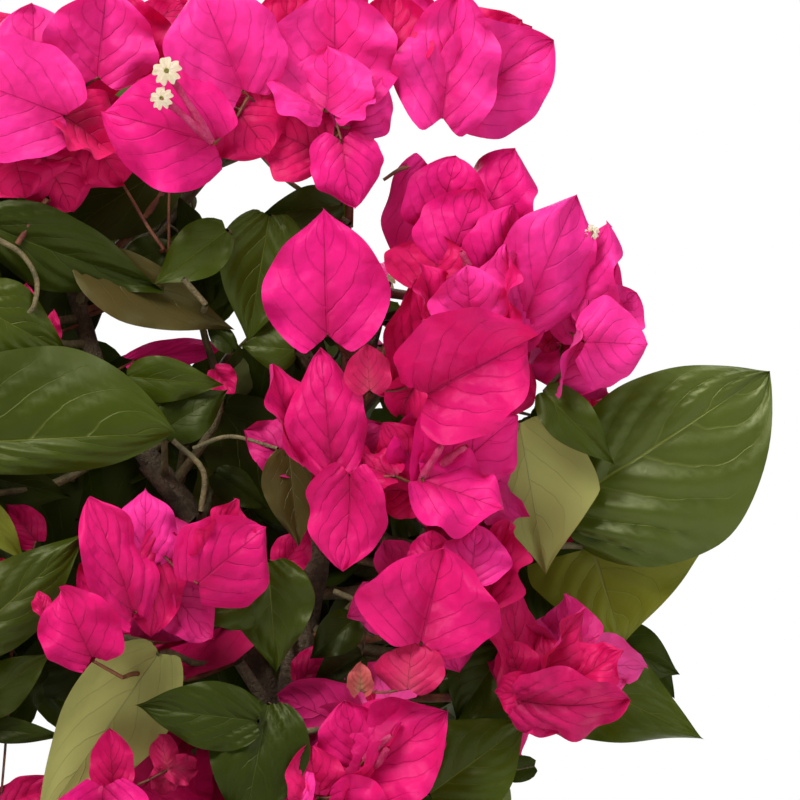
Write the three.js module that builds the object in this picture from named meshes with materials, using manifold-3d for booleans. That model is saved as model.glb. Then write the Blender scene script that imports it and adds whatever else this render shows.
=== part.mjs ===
// A bougainvillea bush in a plain clay pot: one short trunk that forks into four stems,
// masses of leaves round the stems, and a solid for each large head of coloured bracts.
// Millimetres, +Z up, the plant seen from -Y. The origin is the middle of the pot's flat underside.
import * as THREE from "three";
import { mergeVertices } from "three/addons/utils/BufferGeometryUtils.js";
import Module from "manifold-3d";

const wasm = await Module();
wasm.setup();

// Driving dimensions.
const GAP = 0.35; // between neighbours that touch
const POT = { height: 150, footRadius: 62, mouthRadius: 88, wall: 7, base: 9, rimProud: 6, rimHeight: 28 };
const SOIL_LEVEL = POT.height - 18;
const TRUNK = { foot: 13, fork: 9.5, flare: 0.55, height: 52 };
const FORK = [2, 2, SOIL_LEVEL + TRUNK.height];
const STEM_SIDES = 7;
const STEM_STEPS = 8;
const POT_SIDES = 32;
const FACETS = 1; // how finely the round solids are faceted
const SLIVER = 0.01; // the most of a solid that a cut may leave loose
const TIP_SPREAD = 0.8; // the angle, in radians, over which a tip draws the outline out

const COLOURS = {
  clay: { color: 0xb4674a, roughness: 0.85 },
  soil: { color: 0x3a2a20, roughness: 1.0 },
  bark: { color: 0x7a6448, roughness: 0.8 },
  leaf: { color: 0x35501c, roughness: 0.4 },
  bract: { color: 0xe0187c, roughness: 0.6 },
};
const materials = {};
for (const [name, look] of Object.entries(COLOURS)) {
  materials[name] = new THREE.MeshStandardMaterial({ ...look, metalness: 0, flatShading: true });
}

// The stems: the points that each passes from the fork to its tip, and its radius at both ends.
const STEMS = {
  stem_right: {
    through: [[34, 4, 256], [55, 6, 330], [62, 6, 384], [67, 4, 414], [73, 4, 444], [90, 14, 516]],
    radii: [7, 3],
  },
  stem_middle: {
    through: [
      [13, 8, 262], [46, 12, 345], [56, 8, 384], [46, 8, 412],
      [33, 8, 444], [8, 10, 480], [-3, 12, 514],
    ],
    radii: [6, 2.6],
  },
  stem_left: { through: [[-42, 4, 256], [-84, 8, 335], [-108, 10, 420], [-112, 10, 492]], radii: [7, 3] },
  stem_back: {
    through: [[-2, 34, 262], [4, 52, 350], [2, 54, 392], [-10, 52, 440], [-16, 44, 500]],
    radii: [6, 2.8],
  },
};

// Heads of bracts. at is the middle of the head, reach is how far it goes along X, Y and Z,
// and tips are the points that its outline is drawn out to.
const BLOOMS = {
  bloom_top_left: { at: [-9, -6, 570], reach: [34, 26, 34], tips: [[-2, -12, 537], [22, -8, 556]] },
  bloom_top_middle: {
    at: [38, -12, 573],
    reach: [28, 24, 32],
    tips: [[31, -14, 537], [7, -14, 567], [18, -12, 604]],
  },
  bloom_top_centre: { at: [75, -6, 577], reach: [26, 24, 34], tips: [[82, -10, 537], [93, -8, 562]] },
  bloom_top_right: {
    at: [119, -2, 581],
    reach: [25, 16, 23],
    tips: [[143, -2, 584], [102, -4, 561], [136, -2, 560], [94, -2, 592]],
  },
  bloom_right_upper: {
    at: [112, -4, 531],
    reach: [25, 20, 24],
    tips: [[90, -6, 520], [134, -6, 548], [117, -4, 556]],
  },
  bloom_right_outer: { at: [142, -10, 521], reach: [21, 18, 22], tips: [[159, -10, 533], [150, -10, 542]] },
  bloom_right_tip: { at: [153, -8, 499], reach: [17, 16, 18], tips: [[168, -10, 506], [150, -8, 480]] },
  bloom_right_inner: { at: [113, -24, 497], reach: [22, 18, 21], tips: [[135, -26, 495], [97, -24, 477]] },
  bloom_single: { at: [73, -24, 516], reach: [20, 12, 22], tips: [[73, -26, 539], [75, -26, 492]] },
  bloom_centre: { at: [71, -26, 464], reach: [19, 17, 32], tips: [[53, -26, 482], [85, -28, 429]] },
  bloom_centre_right: { at: [110, -27, 460], reach: [21, 18, 21], tips: [[130, -28, 470], [92, -28, 456]] },
  bloom_large: {
    at: [105, -32, 421],
    reach: [24, 18, 25],
    tips: [[81, -34, 409], [129, -28, 438], [118, -30, 444]],
  },
  bloom_low_right: {
    at: [143, -22, 400],
    reach: [20, 18, 18],
    tips: [[153, -22, 421], [139, -22, 379], [165, -20, 394]],
  },
  bloom_low_middle: {
    at: [88, -27, 379],
    reach: [24, 20, 26],
    tips: [[58, -26, 365], [112, -26, 388], [98, -26, 409]],
  },
  bloom_left_group: {
    at: [22, -38, 425],
    reach: [31, 16, 24],
    tips: [[58, -42, 432], [4, -42, 452], [-12, -44, 414]],
  },
  bloom_low_left: { at: [14, -32, 361], reach: [23, 18, 20], tips: [[37, -34, 373], [9, -32, 385]] },
  bloom_far_top: { at: [-66, -4, 572], reach: [30, 26, 31], tips: [[-80, -10, 606], [-44, -8, 545]] },
  bloom_far_shoulder: {
    at: [-117, -6, 544],
    reach: [31, 26, 30],
    tips: [[-146, -8, 562], [-128, -6, 514]],
  },
  bloom_far_outer: { at: [-163, 0, 496], reach: [28, 24, 28], tips: [[-194, -4, 506], [-160, 0, 527]] },
  bloom_far_inner: { at: [-76, -34, 506], reach: [29, 20, 29], tips: [[-62, -36, 474], [-102, -32, 524]] },
  bloom_far_middle: {
    at: [-120, -30, 456],
    reach: [29, 20, 29],
    tips: [[-150, -36, 446], [-110, -36, 486]],
  },
  bloom_far_face: { at: [-62, -42, 430], reach: [28, 18, 28], tips: [[-34, -44, 440], [-74, -42, 401]] },
  bloom_far_low: { at: [-146, -14, 390], reach: [29, 22, 27], tips: [[-177, -14, 398], [-132, -16, 361]] },
  bloom_foot_left: { at: [-58, -54, 342], reach: [26, 18, 25], tips: [[-84, -56, 334], [-46, -56, 368]] },
  bloom_foot_right: { at: [60, -62, 306], reach: [25, 18, 24], tips: [[86, -62, 316], [50, -62, 281]] },
};
const BACK_BLOOMS = { count: 4, low: 404, rise: 50, across: 116, depth: 88, reach: [31, 24, 30] };

// Masses of leaves, in the order in which they take their room.
const LEAVES = {
  leaves_right: {
    at: [165, 0, 459],
    reach: [37, 14, 30],
    tips: [[206, 0, 490], [197, 0, 434], [132, -4, 482], [142, -4, 430]],
  },
  leaves_right_low: {
    at: [151, 7, 406],
    reach: [26, 16, 27],
    tips: [[189, 6, 377], [182, 8, 431], [130, 6, 378]],
  },
  leaves_left_large: { at: [-2, -22, 476], reach: [30, 12, 19], tips: [[29, -22, 466]] },
  leaves_upper_left: {
    at: [0, 4, 521],
    reach: [37, 24, 21],
    tips: [[40, 0, 534], [30, 2, 544], [34, 0, 504]],
  },
  leaves_upper_middle: {
    at: [53, 4, 516],
    reach: [28, 24, 21],
    tips: [[60, 4, 549], [84, 2, 542], [66, 4, 488]],
  },
  leaves_middle: {
    at: [38, 6, 463],
    reach: [42, 26, 29],
    tips: [[20, -6, 493], [46, 0, 498], [-12, 0, 456]],
  },
  leaves_low_left: { at: [-6, -12, 402], reach: [36, 26, 38], tips: [[-14, -14, 460], [-2, -14, 358]] },
  leaves_low_middle: { at: [45, 0, 396], reach: [30, 26, 42], tips: [[36, -8, 350], [66, -4, 362]] },
  leaves_low_right: { at: [117, 0, 384], reach: [25, 22, 34], tips: [[130, -8, 362], [104, -6, 348]] },
  leaves_core_upper: { at: [98, 22, 500], reach: [42, 24, 42], tips: [[96, 18, 548], [142, 12, 492]] },
  leaves_core_low: { at: [98, 20, 434], reach: [46, 28, 46], tips: [[138, 14, 452], [126, 14, 404]] },
  leaves_far_top: { at: [-68, 16, 532], reach: [60, 30, 42], tips: [[-128, 8, 528], [-30, 12, 560]] },
  leaves_far_side: {
    at: [-146, 12, 446],
    reach: [50, 32, 54],
    tips: [[-206, 8, 458], [-192, 8, 410], [-140, 8, 512]],
  },
  leaves_far_inner: { at: [-66, 0, 462], reach: [56, 36, 54], tips: [[-20, -10, 496]] },
  leaves_far_low: { at: [-92, 0, 374], reach: [58, 38, 46], tips: [[-162, -4, 358], [-40, -8, 350]] },
};
const SKIRT = { count: 4, level: 294, across: 68, depth: 46, reach: [62, 48, 60] };
const BACK_LEAVES = { count: 5, low: 372, rise: 44, across: 74, depth: 56, reach: [66, 38, 54] };

// Where the open sky shows between the heads: slots along Y.
const SKY = {
  above_leaves: { x: 46, z: 542, wide: 12, high: 9, tilt: 0.35 },
  above_single: { x: 68, z: 547, wide: 3.5, high: 5, tilt: -0.3 },
  beside_single: { x: 91, z: 527, wide: 4, high: 19, tilt: -0.25 },
  below_leaves: { x: 21, z: 499, wide: 16, high: 4.5, tilt: -0.1 },
  beside_right_leaf: { x: 133.5, z: 479, wide: 3.5, high: 8, tilt: 0 },
  low_left: { x: -18, z: 373, wide: 7, high: 7, tilt: 0 },
};
const SKY_LENGTH = 400;
const SKY_SIDES = 8;

// A closed geometry as a solid, and back.
function toSolid(geometry) {
  const bare = geometry.clone();
  bare.deleteAttribute("normal");
  bare.deleteAttribute("uv");
  const merged = mergeVertices(bare, 1e-3);
  const vertProperties = new Float32Array(merged.attributes.position.array);
  const triVerts = new Uint32Array(merged.index.array);
  return new wasm.Manifold(new wasm.Mesh({ numProp: 3, vertProperties, triVerts }));
}

function toGeometry(solid) {
  const mesh = solid.getMesh();
  const geometry = new THREE.BufferGeometry();
  const places = new Float32Array(mesh.vertProperties);
  geometry.setAttribute("position", new THREE.BufferAttribute(places, mesh.numProp));
  geometry.setIndex(new THREE.BufferAttribute(new Uint32Array(mesh.triVerts), 1));
  geometry.computeVertexNormals();
  return geometry;
}

// What a cut leaves, without loose slivers. A cut that severs more than that is refused.
function largest(solid, name) {
  const kept = solid.decompose().sort((a, b) => b.volume() - a.volume())[0];
  if (solid.volume() - kept.volume() > SLIVER * solid.volume()) throw new Error(`${name} is severed`);
  return kept;
}

function lathed(profile, sides) {
  const points = profile.map(([radius, height]) => new THREE.Vector2(radius, height));
  return new THREE.LatheGeometry(points, sides).rotateX(Math.PI / 2);
}

const { lerp } = THREE.MathUtils;
const potRadius = (height) => lerp(POT.footRadius, POT.mouthRadius, height / POT.height);

function potGeometry() {
  const rimFoot = POT.height - POT.rimHeight;
  return lathed([
    [0, 0],
    [POT.footRadius, 0],
    [potRadius(rimFoot), rimFoot],
    [potRadius(rimFoot) + POT.rimProud, rimFoot],
    [POT.mouthRadius + POT.rimProud, POT.height],
    [POT.mouthRadius - POT.wall, POT.height],
    [potRadius(POT.base) - POT.wall, POT.base],
    [0, POT.base],
  ], POT_SIDES);
}

// The root ball and its soil, crowned a little towards the trunk.
function soilGeometry() {
  const foot = POT.base + GAP;
  const inner = (height) => potRadius(height) - POT.wall - GAP;
  const crown = 4;
  return lathed([
    [0, foot],
    [inner(foot), foot],
    [inner(SOIL_LEVEL - crown), SOIL_LEVEL - crown],
    [inner(SOIL_LEVEL) * 0.6, SOIL_LEVEL - crown / 3],
    [TRUNK.foot * 2, SOIL_LEVEL],
    [0, SOIL_LEVEL],
  ], POT_SIDES);
}

// A limb: a cylinder bent along a curve, with its radius at each share of the way.
function limbGeometry(points, radiusAt, grow = 0) {
  const curve = new THREE.CatmullRomCurve3(points.map((p) => new THREE.Vector3(...p)));
  const frames = curve.computeFrenetFrames(STEM_STEPS);
  const geometry = new THREE.CylinderGeometry(1, 1, 1, STEM_SIDES, STEM_STEPS);
  const at = geometry.attributes.position;
  for (let i = 0; i < at.count; i++) {
    const share = at.getY(i) + 0.5;
    const step = Math.round(share * STEM_STEPS);
    const radius = radiusAt(share) + grow;
    const past = grow * Math.sign(share - 0.5);
    const place = curve.getPointAt(share).addScaledVector(curve.getTangentAt(share), past);
    place.addScaledVector(frames.normals[step], at.getX(i) * radius);
    place.addScaledVector(frames.binormals[step], -at.getZ(i) * radius);
    at.setXYZ(i, place.x, place.y, place.z);
  }
  return geometry;
}

// The trunk stands on a flat cut, level with the soil, and swells out to its roots.
function trunkGeometry(grow = 0) {
  const geometry = new THREE.CylinderGeometry(1, 1, TRUNK.height, 10, 5);
  geometry.rotateX(Math.PI / 2);
  const at = geometry.attributes.position;
  for (let i = 0; i < at.count; i++) {
    const share = at.getZ(i) / TRUNK.height + 0.5;
    const angle = Math.atan2(at.getY(i), at.getX(i));
    const flare = TRUNK.flare * (1 - share) ** 3 * (1 + 0.25 * Math.cos(5 * angle));
    const radius = lerp(TRUNK.foot, TRUNK.fork, share) * (1 + flare) + grow;
    const lean = share * share;
    const out = Math.hypot(at.getX(i), at.getY(i)) * radius;
    at.setXYZ(i, FORK[0] * lean + out * Math.cos(angle), FORK[1] * lean + out * Math.sin(angle),
      SOIL_LEVEL + GAP + share * (TRUNK.height + grow));
  }
  return geometry;
}

// A closed, uneven round solid. Its outline swells in lobes, by depth, and runs out to the mass's tips.
function lumpGeometry(mass, seed, { lobes, depth }, grow = 0) {
  const middle = new THREE.Vector3(...mass.at);
  const reach = new THREE.Vector3(...mass.reach);
  const geometry = new THREE.IcosahedronGeometry(1, FACETS);
  const at = geometry.attributes.position;
  const directionOf = (_, i) => new THREE.Vector3().fromBufferAttribute(at, i);
  const directions = Array.from({ length: at.count }, directionOf);
  const points = directions.map((direction) => {
    const { x, y, z } = direction;
    const petals = Math.cos(lobes * Math.atan2(z, x) + seed) * Math.hypot(x, z);
    const swell = 1 - depth + depth * (0.6 * petals + 0.4 * Math.sin(3 * y + 2 * z + 1.7 * seed));
    return direction.clone().multiplyScalar(swell);
  });
  for (const place of mass.tips ?? []) {
    const tip = new THREE.Vector3(...place).sub(middle).divide(reach);
    const angles = directions.map((direction) => direction.angleTo(tip));
    const least = Math.min(...angles);
    points.forEach((point, i) => point.lerp(tip, Math.max(0, 1 - (angles[i] - least) / TIP_SPREAD) ** 2));
  }
  reach.addScalar(grow);
  points.forEach((point, i) => at.setXYZ(i, ...point.multiply(reach).add(middle)));
  return geometry;
}

const BLOOM_LUMP = { lobes: 3, depth: 0.08 };
const LEAF_LUMP = { lobes: 5, depth: 0.07 };

// Masses that stand round the stems: a ring at one level, and rows that climb the back.
function ringOf(name, ring) {
  const masses = {};
  for (let i = 0; i < ring.count; i++) {
    const turn = ((i + 0.5) / ring.count) * 2 * Math.PI;
    masses[`${name}_${i + 1}`] = {
      at: [
        ring.across * Math.cos(turn),
        4 + ring.depth * Math.sin(turn),
        ring.level + 12 * Math.cos(3 * turn),
      ],
      reach: ring.reach,
    };
  }
  return masses;
}

function climbing(name, row) {
  const masses = {};
  for (let i = 0; i < row.count; i++) {
    const side = i % 2 ? -1 : 1;
    const inward = 1 - (0.62 * i) / row.count;
    masses[`${name}_${i + 1}`] = {
      at: [side * row.across * inward, row.depth - 5 * i, row.low + row.rise * i],
      reach: row.reach,
    };
  }
  return masses;
}

function skyGeometry(slot) {
  const geometry = new THREE.CylinderGeometry(1, 1, SKY_LENGTH, SKY_SIDES);
  geometry.scale(slot.wide, 1, slot.high);
  geometry.rotateY(slot.tilt);
  return geometry.translate(slot.x, 0, slot.z);
}

const plant = new THREE.Group();
let taken = toSolid(skyGeometry(Object.values(SKY)[0]));
for (const slot of Object.values(SKY)) taken = taken.add(toSolid(skyGeometry(slot)));

function addMesh(name, geometry, material) {
  const mesh = new THREE.Mesh(geometry, materials[material]);
  mesh.name = name;
  plant.add(mesh);
}

// Adds a solid as one node, cut back from those before it.
function addCut(name, own, grown, material) {
  addMesh(name, toGeometry(largest(own.subtract(taken), name).simplify(0.1)), material);
  taken = taken.add(grown);
}

function addMasses(masses, lump, material) {
  Object.entries(masses).forEach(([name, mass], i) => {
    const seed = 0.7 + 1.9 * i;
    const own = toSolid(lumpGeometry(mass, seed, lump));
    addCut(name, own, toSolid(lumpGeometry(mass, seed, lump, GAP)), material);
  });
}

addMesh("pot", potGeometry(), "clay");
addMesh("soil", soilGeometry(), "soil");
addMesh("trunk", trunkGeometry(), "bark");
taken = taken.add(toSolid(trunkGeometry(GAP)));
for (const [name, stem] of Object.entries(STEMS)) {
  const radiusAt = (share) => lerp(stem.radii[0], stem.radii[1], share);
  const points = [[FORK[0], FORK[1], FORK[2] - 12], ...stem.through];
  const own = toSolid(limbGeometry(points, radiusAt));
  addCut(name, own, toSolid(limbGeometry(points, radiusAt, GAP)), "bark");
}
const blooms = { ...BLOOMS, ...climbing("bloom_back", BACK_BLOOMS) };
const leaves = { ...LEAVES, ...climbing("leaves_back", BACK_LEAVES), ...ringOf("leaves_skirt", SKIRT) };
addMasses(blooms, BLOOM_LUMP, "bract");
addMasses(leaves, LEAF_LUMP, "leaf");

export default plant;
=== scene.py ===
import math
import random

import bpy
import numpy as np
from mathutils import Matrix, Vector
from mathutils.bvhtree import BVHTree


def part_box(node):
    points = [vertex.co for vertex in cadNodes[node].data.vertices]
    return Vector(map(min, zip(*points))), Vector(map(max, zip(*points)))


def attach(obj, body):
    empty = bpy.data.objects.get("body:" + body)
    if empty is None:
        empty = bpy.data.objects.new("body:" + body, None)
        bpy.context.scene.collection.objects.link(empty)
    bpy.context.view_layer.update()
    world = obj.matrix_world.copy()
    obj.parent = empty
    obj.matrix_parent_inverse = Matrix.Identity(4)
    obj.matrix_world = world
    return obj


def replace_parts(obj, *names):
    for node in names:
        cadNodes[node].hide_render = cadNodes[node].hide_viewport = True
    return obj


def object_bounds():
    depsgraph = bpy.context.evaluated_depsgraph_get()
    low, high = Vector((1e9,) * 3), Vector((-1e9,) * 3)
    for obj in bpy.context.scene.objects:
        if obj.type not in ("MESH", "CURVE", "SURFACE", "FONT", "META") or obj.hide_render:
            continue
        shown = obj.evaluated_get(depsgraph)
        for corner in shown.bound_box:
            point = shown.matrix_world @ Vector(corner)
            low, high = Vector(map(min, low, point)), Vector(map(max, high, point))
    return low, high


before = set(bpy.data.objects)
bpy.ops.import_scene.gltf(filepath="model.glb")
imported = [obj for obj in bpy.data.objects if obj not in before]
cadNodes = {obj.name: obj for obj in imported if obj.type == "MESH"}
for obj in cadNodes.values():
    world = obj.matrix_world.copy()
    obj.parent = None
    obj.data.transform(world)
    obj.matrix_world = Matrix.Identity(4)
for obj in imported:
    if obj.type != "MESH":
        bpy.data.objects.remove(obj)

mm = 0.001
fullTurn, thirdTurn, goldenTurn = 6.283, 2.094, 2.399    # radians
cadBox = [list(corner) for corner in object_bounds()]
bloomNodes = sorted(name for name in cadNodes if name.startswith("bloom_"))
leafNodes = sorted(name for name in cadNodes if name.startswith("leaves_"))
print("frame loaded:", len(cadNodes), "nodes")


# Camera, light and floor.

cameraSetup = {
    "lookAt": (95.4, 0, 480),  # middle of the view, millimetres
    "viewWidth": 240,          # how much of the plant the view takes in, millimetres
    "distance": 2200,
}

cameraData = bpy.data.cameras.new("camera")
camera = bpy.data.objects.new("camera", cameraData)
bpy.context.scene.collection.objects.link(camera)
bpy.context.scene.camera = camera
lookAt = Vector(cameraSetup["lookAt"]) * mm
camera.location = lookAt + Vector((0, -cameraSetup["distance"] * mm, 0))
camera.rotation_euler = (math.pi / 2, 0, 0)
cameraData.sensor_width = 36
cameraData.lens = cameraData.sensor_width * cameraSetup["distance"] / cameraSetup["viewWidth"]
cameraData.clip_start = 0.1
cameraData.clip_end = 50

lightSetup = {
    # name: place in metres, size in metres, watts, colour
    "keyBox": ((-0.9, -1.5, 2.3), 1.2, 80, (1.0, 0.98, 0.95)),
    "fillBox": ((1.7, -1.7, 1.2), 1.3, 17, (0.97, 0.98, 1.0)),
    "topBox": ((0.2, 0.3, 2.4), 1.6, 30, (1.0, 1.0, 1.0)),
    "backBox": ((-0.6, 2.2, 1.3), 1.5, 20, (1.0, 1.0, 1.0)),
}
lightsAim = Vector((0.03, 0, 0.42))    # the middle of the crown, metres

for name, (place, size, watts, tone) in lightSetup.items():
    lamp = bpy.data.lights.new(name, "AREA")
    lamp.shape = "SQUARE"
    lamp.size = size
    lamp.energy = watts
    lamp.color = tone
    holder = bpy.data.objects.new(name, lamp)
    holder.location = place
    holder.rotation_euler = (lightsAim - Vector(place)).to_track_quat("-Z", "Y").to_euler()
    holder.visible_camera = False
    bpy.context.scene.collection.objects.link(holder)

# The camera sees a plain white surround, and the plant is lit by a dimmer one.
surround = {
    # who meets it: colour and strength
    "plant": ((1.0, 0.99, 0.96, 1), 0.16),
    "camera": ((1, 1, 1, 1), 1.0),
}
world = bpy.data.worlds.new("surround")
bpy.context.scene.world = world
world.use_nodes = True
nodes, links = world.node_tree.nodes, world.node_tree.links
nodes.clear()
surroundOut = nodes.new("ShaderNodeOutputWorld")
mixSeen = nodes.new("ShaderNodeMixShader")
seen = nodes.new("ShaderNodeLightPath")
links.new(seen.outputs["Is Camera Ray"], mixSeen.inputs["Fac"])
for index, (colour, strength) in enumerate(surround.values()):
    background = nodes.new("ShaderNodeBackground")
    background.inputs["Color"].default_value = colour
    background.inputs["Strength"].default_value = strength
    links.new(background.outputs["Background"], mixSeen.inputs[index + 1])
links.new(mixSeen.outputs["Shader"], surroundOut.inputs["Surface"])
bpy.context.scene.view_settings.view_transform = "Standard"

floorMesh = bpy.data.meshes.new("floor")
reach = 3.0
corners = [(-reach, -reach, 0), (reach, -reach, 0), (reach, reach, 0), (-reach, reach, 0)]
floorMesh.from_pydata(corners, [], [(0, 1, 2, 3)])
floor = bpy.data.objects.new("floor", floorMesh)
bpy.context.scene.collection.objects.link(floor)
print("camera, light and floor set")


# Shader groups and materials.

def addSocket(group, name, way="INPUT", value=None):
    made = group.interface.new_socket(name=name, in_out=way, socket_type="NodeSocketFloat")
    if value is not None:
        made.default_value = value


def feed(tree, node, key, value):
    if isinstance(value, bpy.types.NodeSocket):
        tree.links.new(value, node.inputs[key])
    else:
        node.inputs[key].default_value = value


def sums(tree, operation, *values, clamp=False):
    node = tree.nodes.new("ShaderNodeMath")
    node.operation = operation
    node.use_clamp = clamp
    for index, value in enumerate(values):
        feed(tree, node, index, value)
    return node.outputs[0]


def plus(tree, a, b):
    return sums(tree, "ADD", a, b)


def times(tree, a, b):
    return sums(tree, "MULTIPLY", a, b)


def ramp(tree, value, low, high, outLow=0.0, outHigh=1.0):
    node = tree.nodes.new("ShaderNodeMapRange")
    node.interpolation_type = "SMOOTHSTEP"
    keys = ("Value", "From Min", "From Max", "To Min", "To Max")
    for key, given in zip(keys, (value, low, high, outLow, outHigh)):
        feed(tree, node, key, given)
    return node.outputs["Result"]


def blendColour(tree, share, a, b):
    node = tree.nodes.new("ShaderNodeMix")
    node.data_type = "RGBA"
    feed(tree, node, 0, share)
    feed(tree, node, 6, a)
    feed(tree, node, 7, b)
    return node.outputs[2]


def noise(tree, vector, scale, detail, rough=0.5):
    node = tree.nodes.new("ShaderNodeTexNoise")
    tree.links.new(vector, node.inputs["Vector"])
    node.inputs["Scale"].default_value = scale
    node.inputs["Detail"].default_value = detail
    node.inputs["Roughness"].default_value = rough
    return node.outputs["Fac"]


def makeVeinNetwork():
    # Veins of one blade, from its UV: U runs across and V from base to tip.
    group = bpy.data.node_groups.new("veinNetwork", "ShaderNodeTree")
    defaults = {"Count": 6.0, "Slope": 0.35, "Rib Width": 0.03, "Vein Width": 0.12, "Net Scale": 14.0}
    for name, value in defaults.items():
        addSocket(group, name, value=value)
    for name in ("Rib", "Veins", "Net", "Height", "BaseShade", "Pleats"):
        addSocket(group, name, "OUTPUT")
    given = group.nodes.new("NodeGroupInput").outputs
    out = group.nodes.new("NodeGroupOutput")
    place = group.nodes.new("ShaderNodeTexCoord").outputs["UV"]
    split = group.nodes.new("ShaderNodeSeparateXYZ")
    group.links.new(place, split.inputs[0])
    u, v = split.outputs[0], split.outputs[1]
    wobble = times(group, sums(group, "SUBTRACT", noise(group, place, 5.0, 2.0), 0.5), 0.10)
    fromRib = sums(group, "ABSOLUTE", sums(group, "MULTIPLY_ADD", u, 2.0, -1.0))
    rightHalf = sums(group, "GREATER_THAN", u, 0.5)
    ribWidth = times(group, given["Rib Width"], sums(group, "MULTIPLY_ADD", v, -0.75, 1.0))
    rib = ramp(group, sums(group, "DIVIDE", fromRib, ribWidth), 1.0, 0.35)
    # Each vein leaves the rib and runs up towards the margin.
    along = sums(group, "SUBTRACT", v, times(group, given["Slope"], sums(group, "POWER", fromRib, 1.2)))
    along = plus(group, plus(group, along, wobble), times(group, rightHalf, 0.06))
    turn = sums(group, "FRACT", times(group, along, given["Count"]))
    toVein = sums(group, "SUBTRACT", 0.5, sums(group, "ABSOLUTE", sums(group, "SUBTRACT", turn, 0.5)))
    veinWidth = times(group, given["Vein Width"], sums(group, "MULTIPLY_ADD", fromRib, -0.7, 1.0))
    veins = ramp(group, sums(group, "DIVIDE", toVein, veinWidth), 1.0, 0.2)
    veins = times(group, veins, ramp(group, fromRib, 1.0, 0.55))
    cells = group.nodes.new("ShaderNodeTexVoronoi")
    cells.voronoi_dimensions = "2D"
    cells.feature = "DISTANCE_TO_EDGE"
    group.links.new(place, cells.inputs["Vector"])
    group.links.new(given["Net Scale"], cells.inputs["Scale"])
    net = ramp(group, cells.outputs["Distance"], 0.09, 0.0)
    height = plus(group, times(group, rib, -0.9), times(group, veins, -0.6))
    height = plus(group, height, times(group, net, -0.02))
    # Painted shade: the colour darkens towards the middle of the base.
    nearBase = plus(group, times(group, v, 1.0), times(group, fromRib, 1.3))
    baseShade = ramp(group, nearBase, 1.05, 0.0)
    # Pleats lie between the veins, fade to the margin and the tip, and come in patches. They give bumps, and
    # in the bracts also painted shade in their creases.
    pleats = sums(group, "POWER", sums(group, "MULTIPLY_ADD", toVein, -2.0, 1.0), 1.8)
    pleats = times(group, pleats, ramp(group, fromRib, 1.0, 0.35))
    pleats = times(group, pleats, sums(group, "MULTIPLY_ADD", v, -0.7, 1.0))
    spot = group.nodes.new("ShaderNodeTexCoord").outputs["Object"]
    pleats = times(group, pleats, ramp(group, noise(group, spot, 60.0, 1.0), 0.35, 0.65, 0.1, 1.0))
    outputs = {"Rib": rib, "Veins": veins, "Net": net, "Height": height, "BaseShade": baseShade, "Pleats": pleats}
    for name, value in outputs.items():
        group.links.new(value, out.inputs[name])
    return group


def makeMottle():
    # Slow and fine patches over a surface, from its place.
    group = bpy.data.node_groups.new("mottle", "ShaderNodeTree")
    addSocket(group, "Broad Scale", value=20.0)
    addSocket(group, "Fine Scale", value=200.0)
    addSocket(group, "Broad", "OUTPUT")
    addSocket(group, "Fine", "OUTPUT")
    given = group.nodes.new("NodeGroupInput").outputs
    out = group.nodes.new("NodeGroupOutput")
    place = group.nodes.new("ShaderNodeTexCoord").outputs["Object"]
    for name, key, detail in (("Broad", "Broad Scale", 3.0), ("Fine", "Fine Scale", 5.0)):
        texture = group.nodes.new("ShaderNodeTexNoise")
        group.links.new(place, texture.inputs["Vector"])
        group.links.new(given[key], texture.inputs["Scale"])
        texture.inputs["Detail"].default_value = detail
        texture.inputs["Roughness"].default_value = 0.6
        group.links.new(ramp(group, texture.outputs["Fac"], 0.3, 0.7), out.inputs[name])
    return group


veinNetwork = makeVeinNetwork()
mottle = makeMottle()


def newMaterial(name):
    material = bpy.data.materials.new(name)
    material.use_nodes = True
    tree = material.node_tree
    tree.nodes.clear()
    out = tree.nodes.new("ShaderNodeOutputMaterial")
    surface = tree.nodes.new("ShaderNodeBsdfPrincipled")
    tree.links.new(surface.outputs[0], out.inputs["Surface"])
    return material, tree, surface, out


def setInputs(node, values):
    for key, value in values.items():
        node.inputs[key].default_value = value


def useGroup(tree, group, values):
    node = tree.nodes.new("ShaderNodeGroup")
    node.node_tree = group
    setInputs(node, values)
    return node.outputs


def useMottle(tree, broad, fine):
    return useGroup(tree, mottle, {"Broad Scale": broad, "Fine Scale": fine})


def scaled(colour, share):
    return tuple(c * share for c in colour[:3]) + (1,)


def letThrough(tree, surface, out, colour, share):
    # Light passes through a thin blade: part of the surface is translucent.
    glow = tree.nodes.new("ShaderNodeBsdfTranslucent")
    feed(tree, glow, "Color", colour)
    mix = tree.nodes.new("ShaderNodeMixShader")
    mix.inputs["Fac"].default_value = share
    tree.links.new(surface.outputs[0], mix.inputs[1])
    tree.links.new(glow.outputs[0], mix.inputs[2])
    tree.links.new(mix.outputs[0], out.inputs["Surface"])


def addBump(tree, surface, height, distance, strength=1.0, normal=None):
    bump = tree.nodes.new("ShaderNodeBump")
    setInputs(bump, {"Distance": distance, "Strength": strength})
    tree.links.new(height, bump.inputs["Height"])
    if normal is not None:
        tree.links.new(normal, bump.inputs["Normal"])
    tree.links.new(bump.outputs["Normal"], surface.inputs["Normal"])
    return bump.outputs["Normal"]


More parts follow.
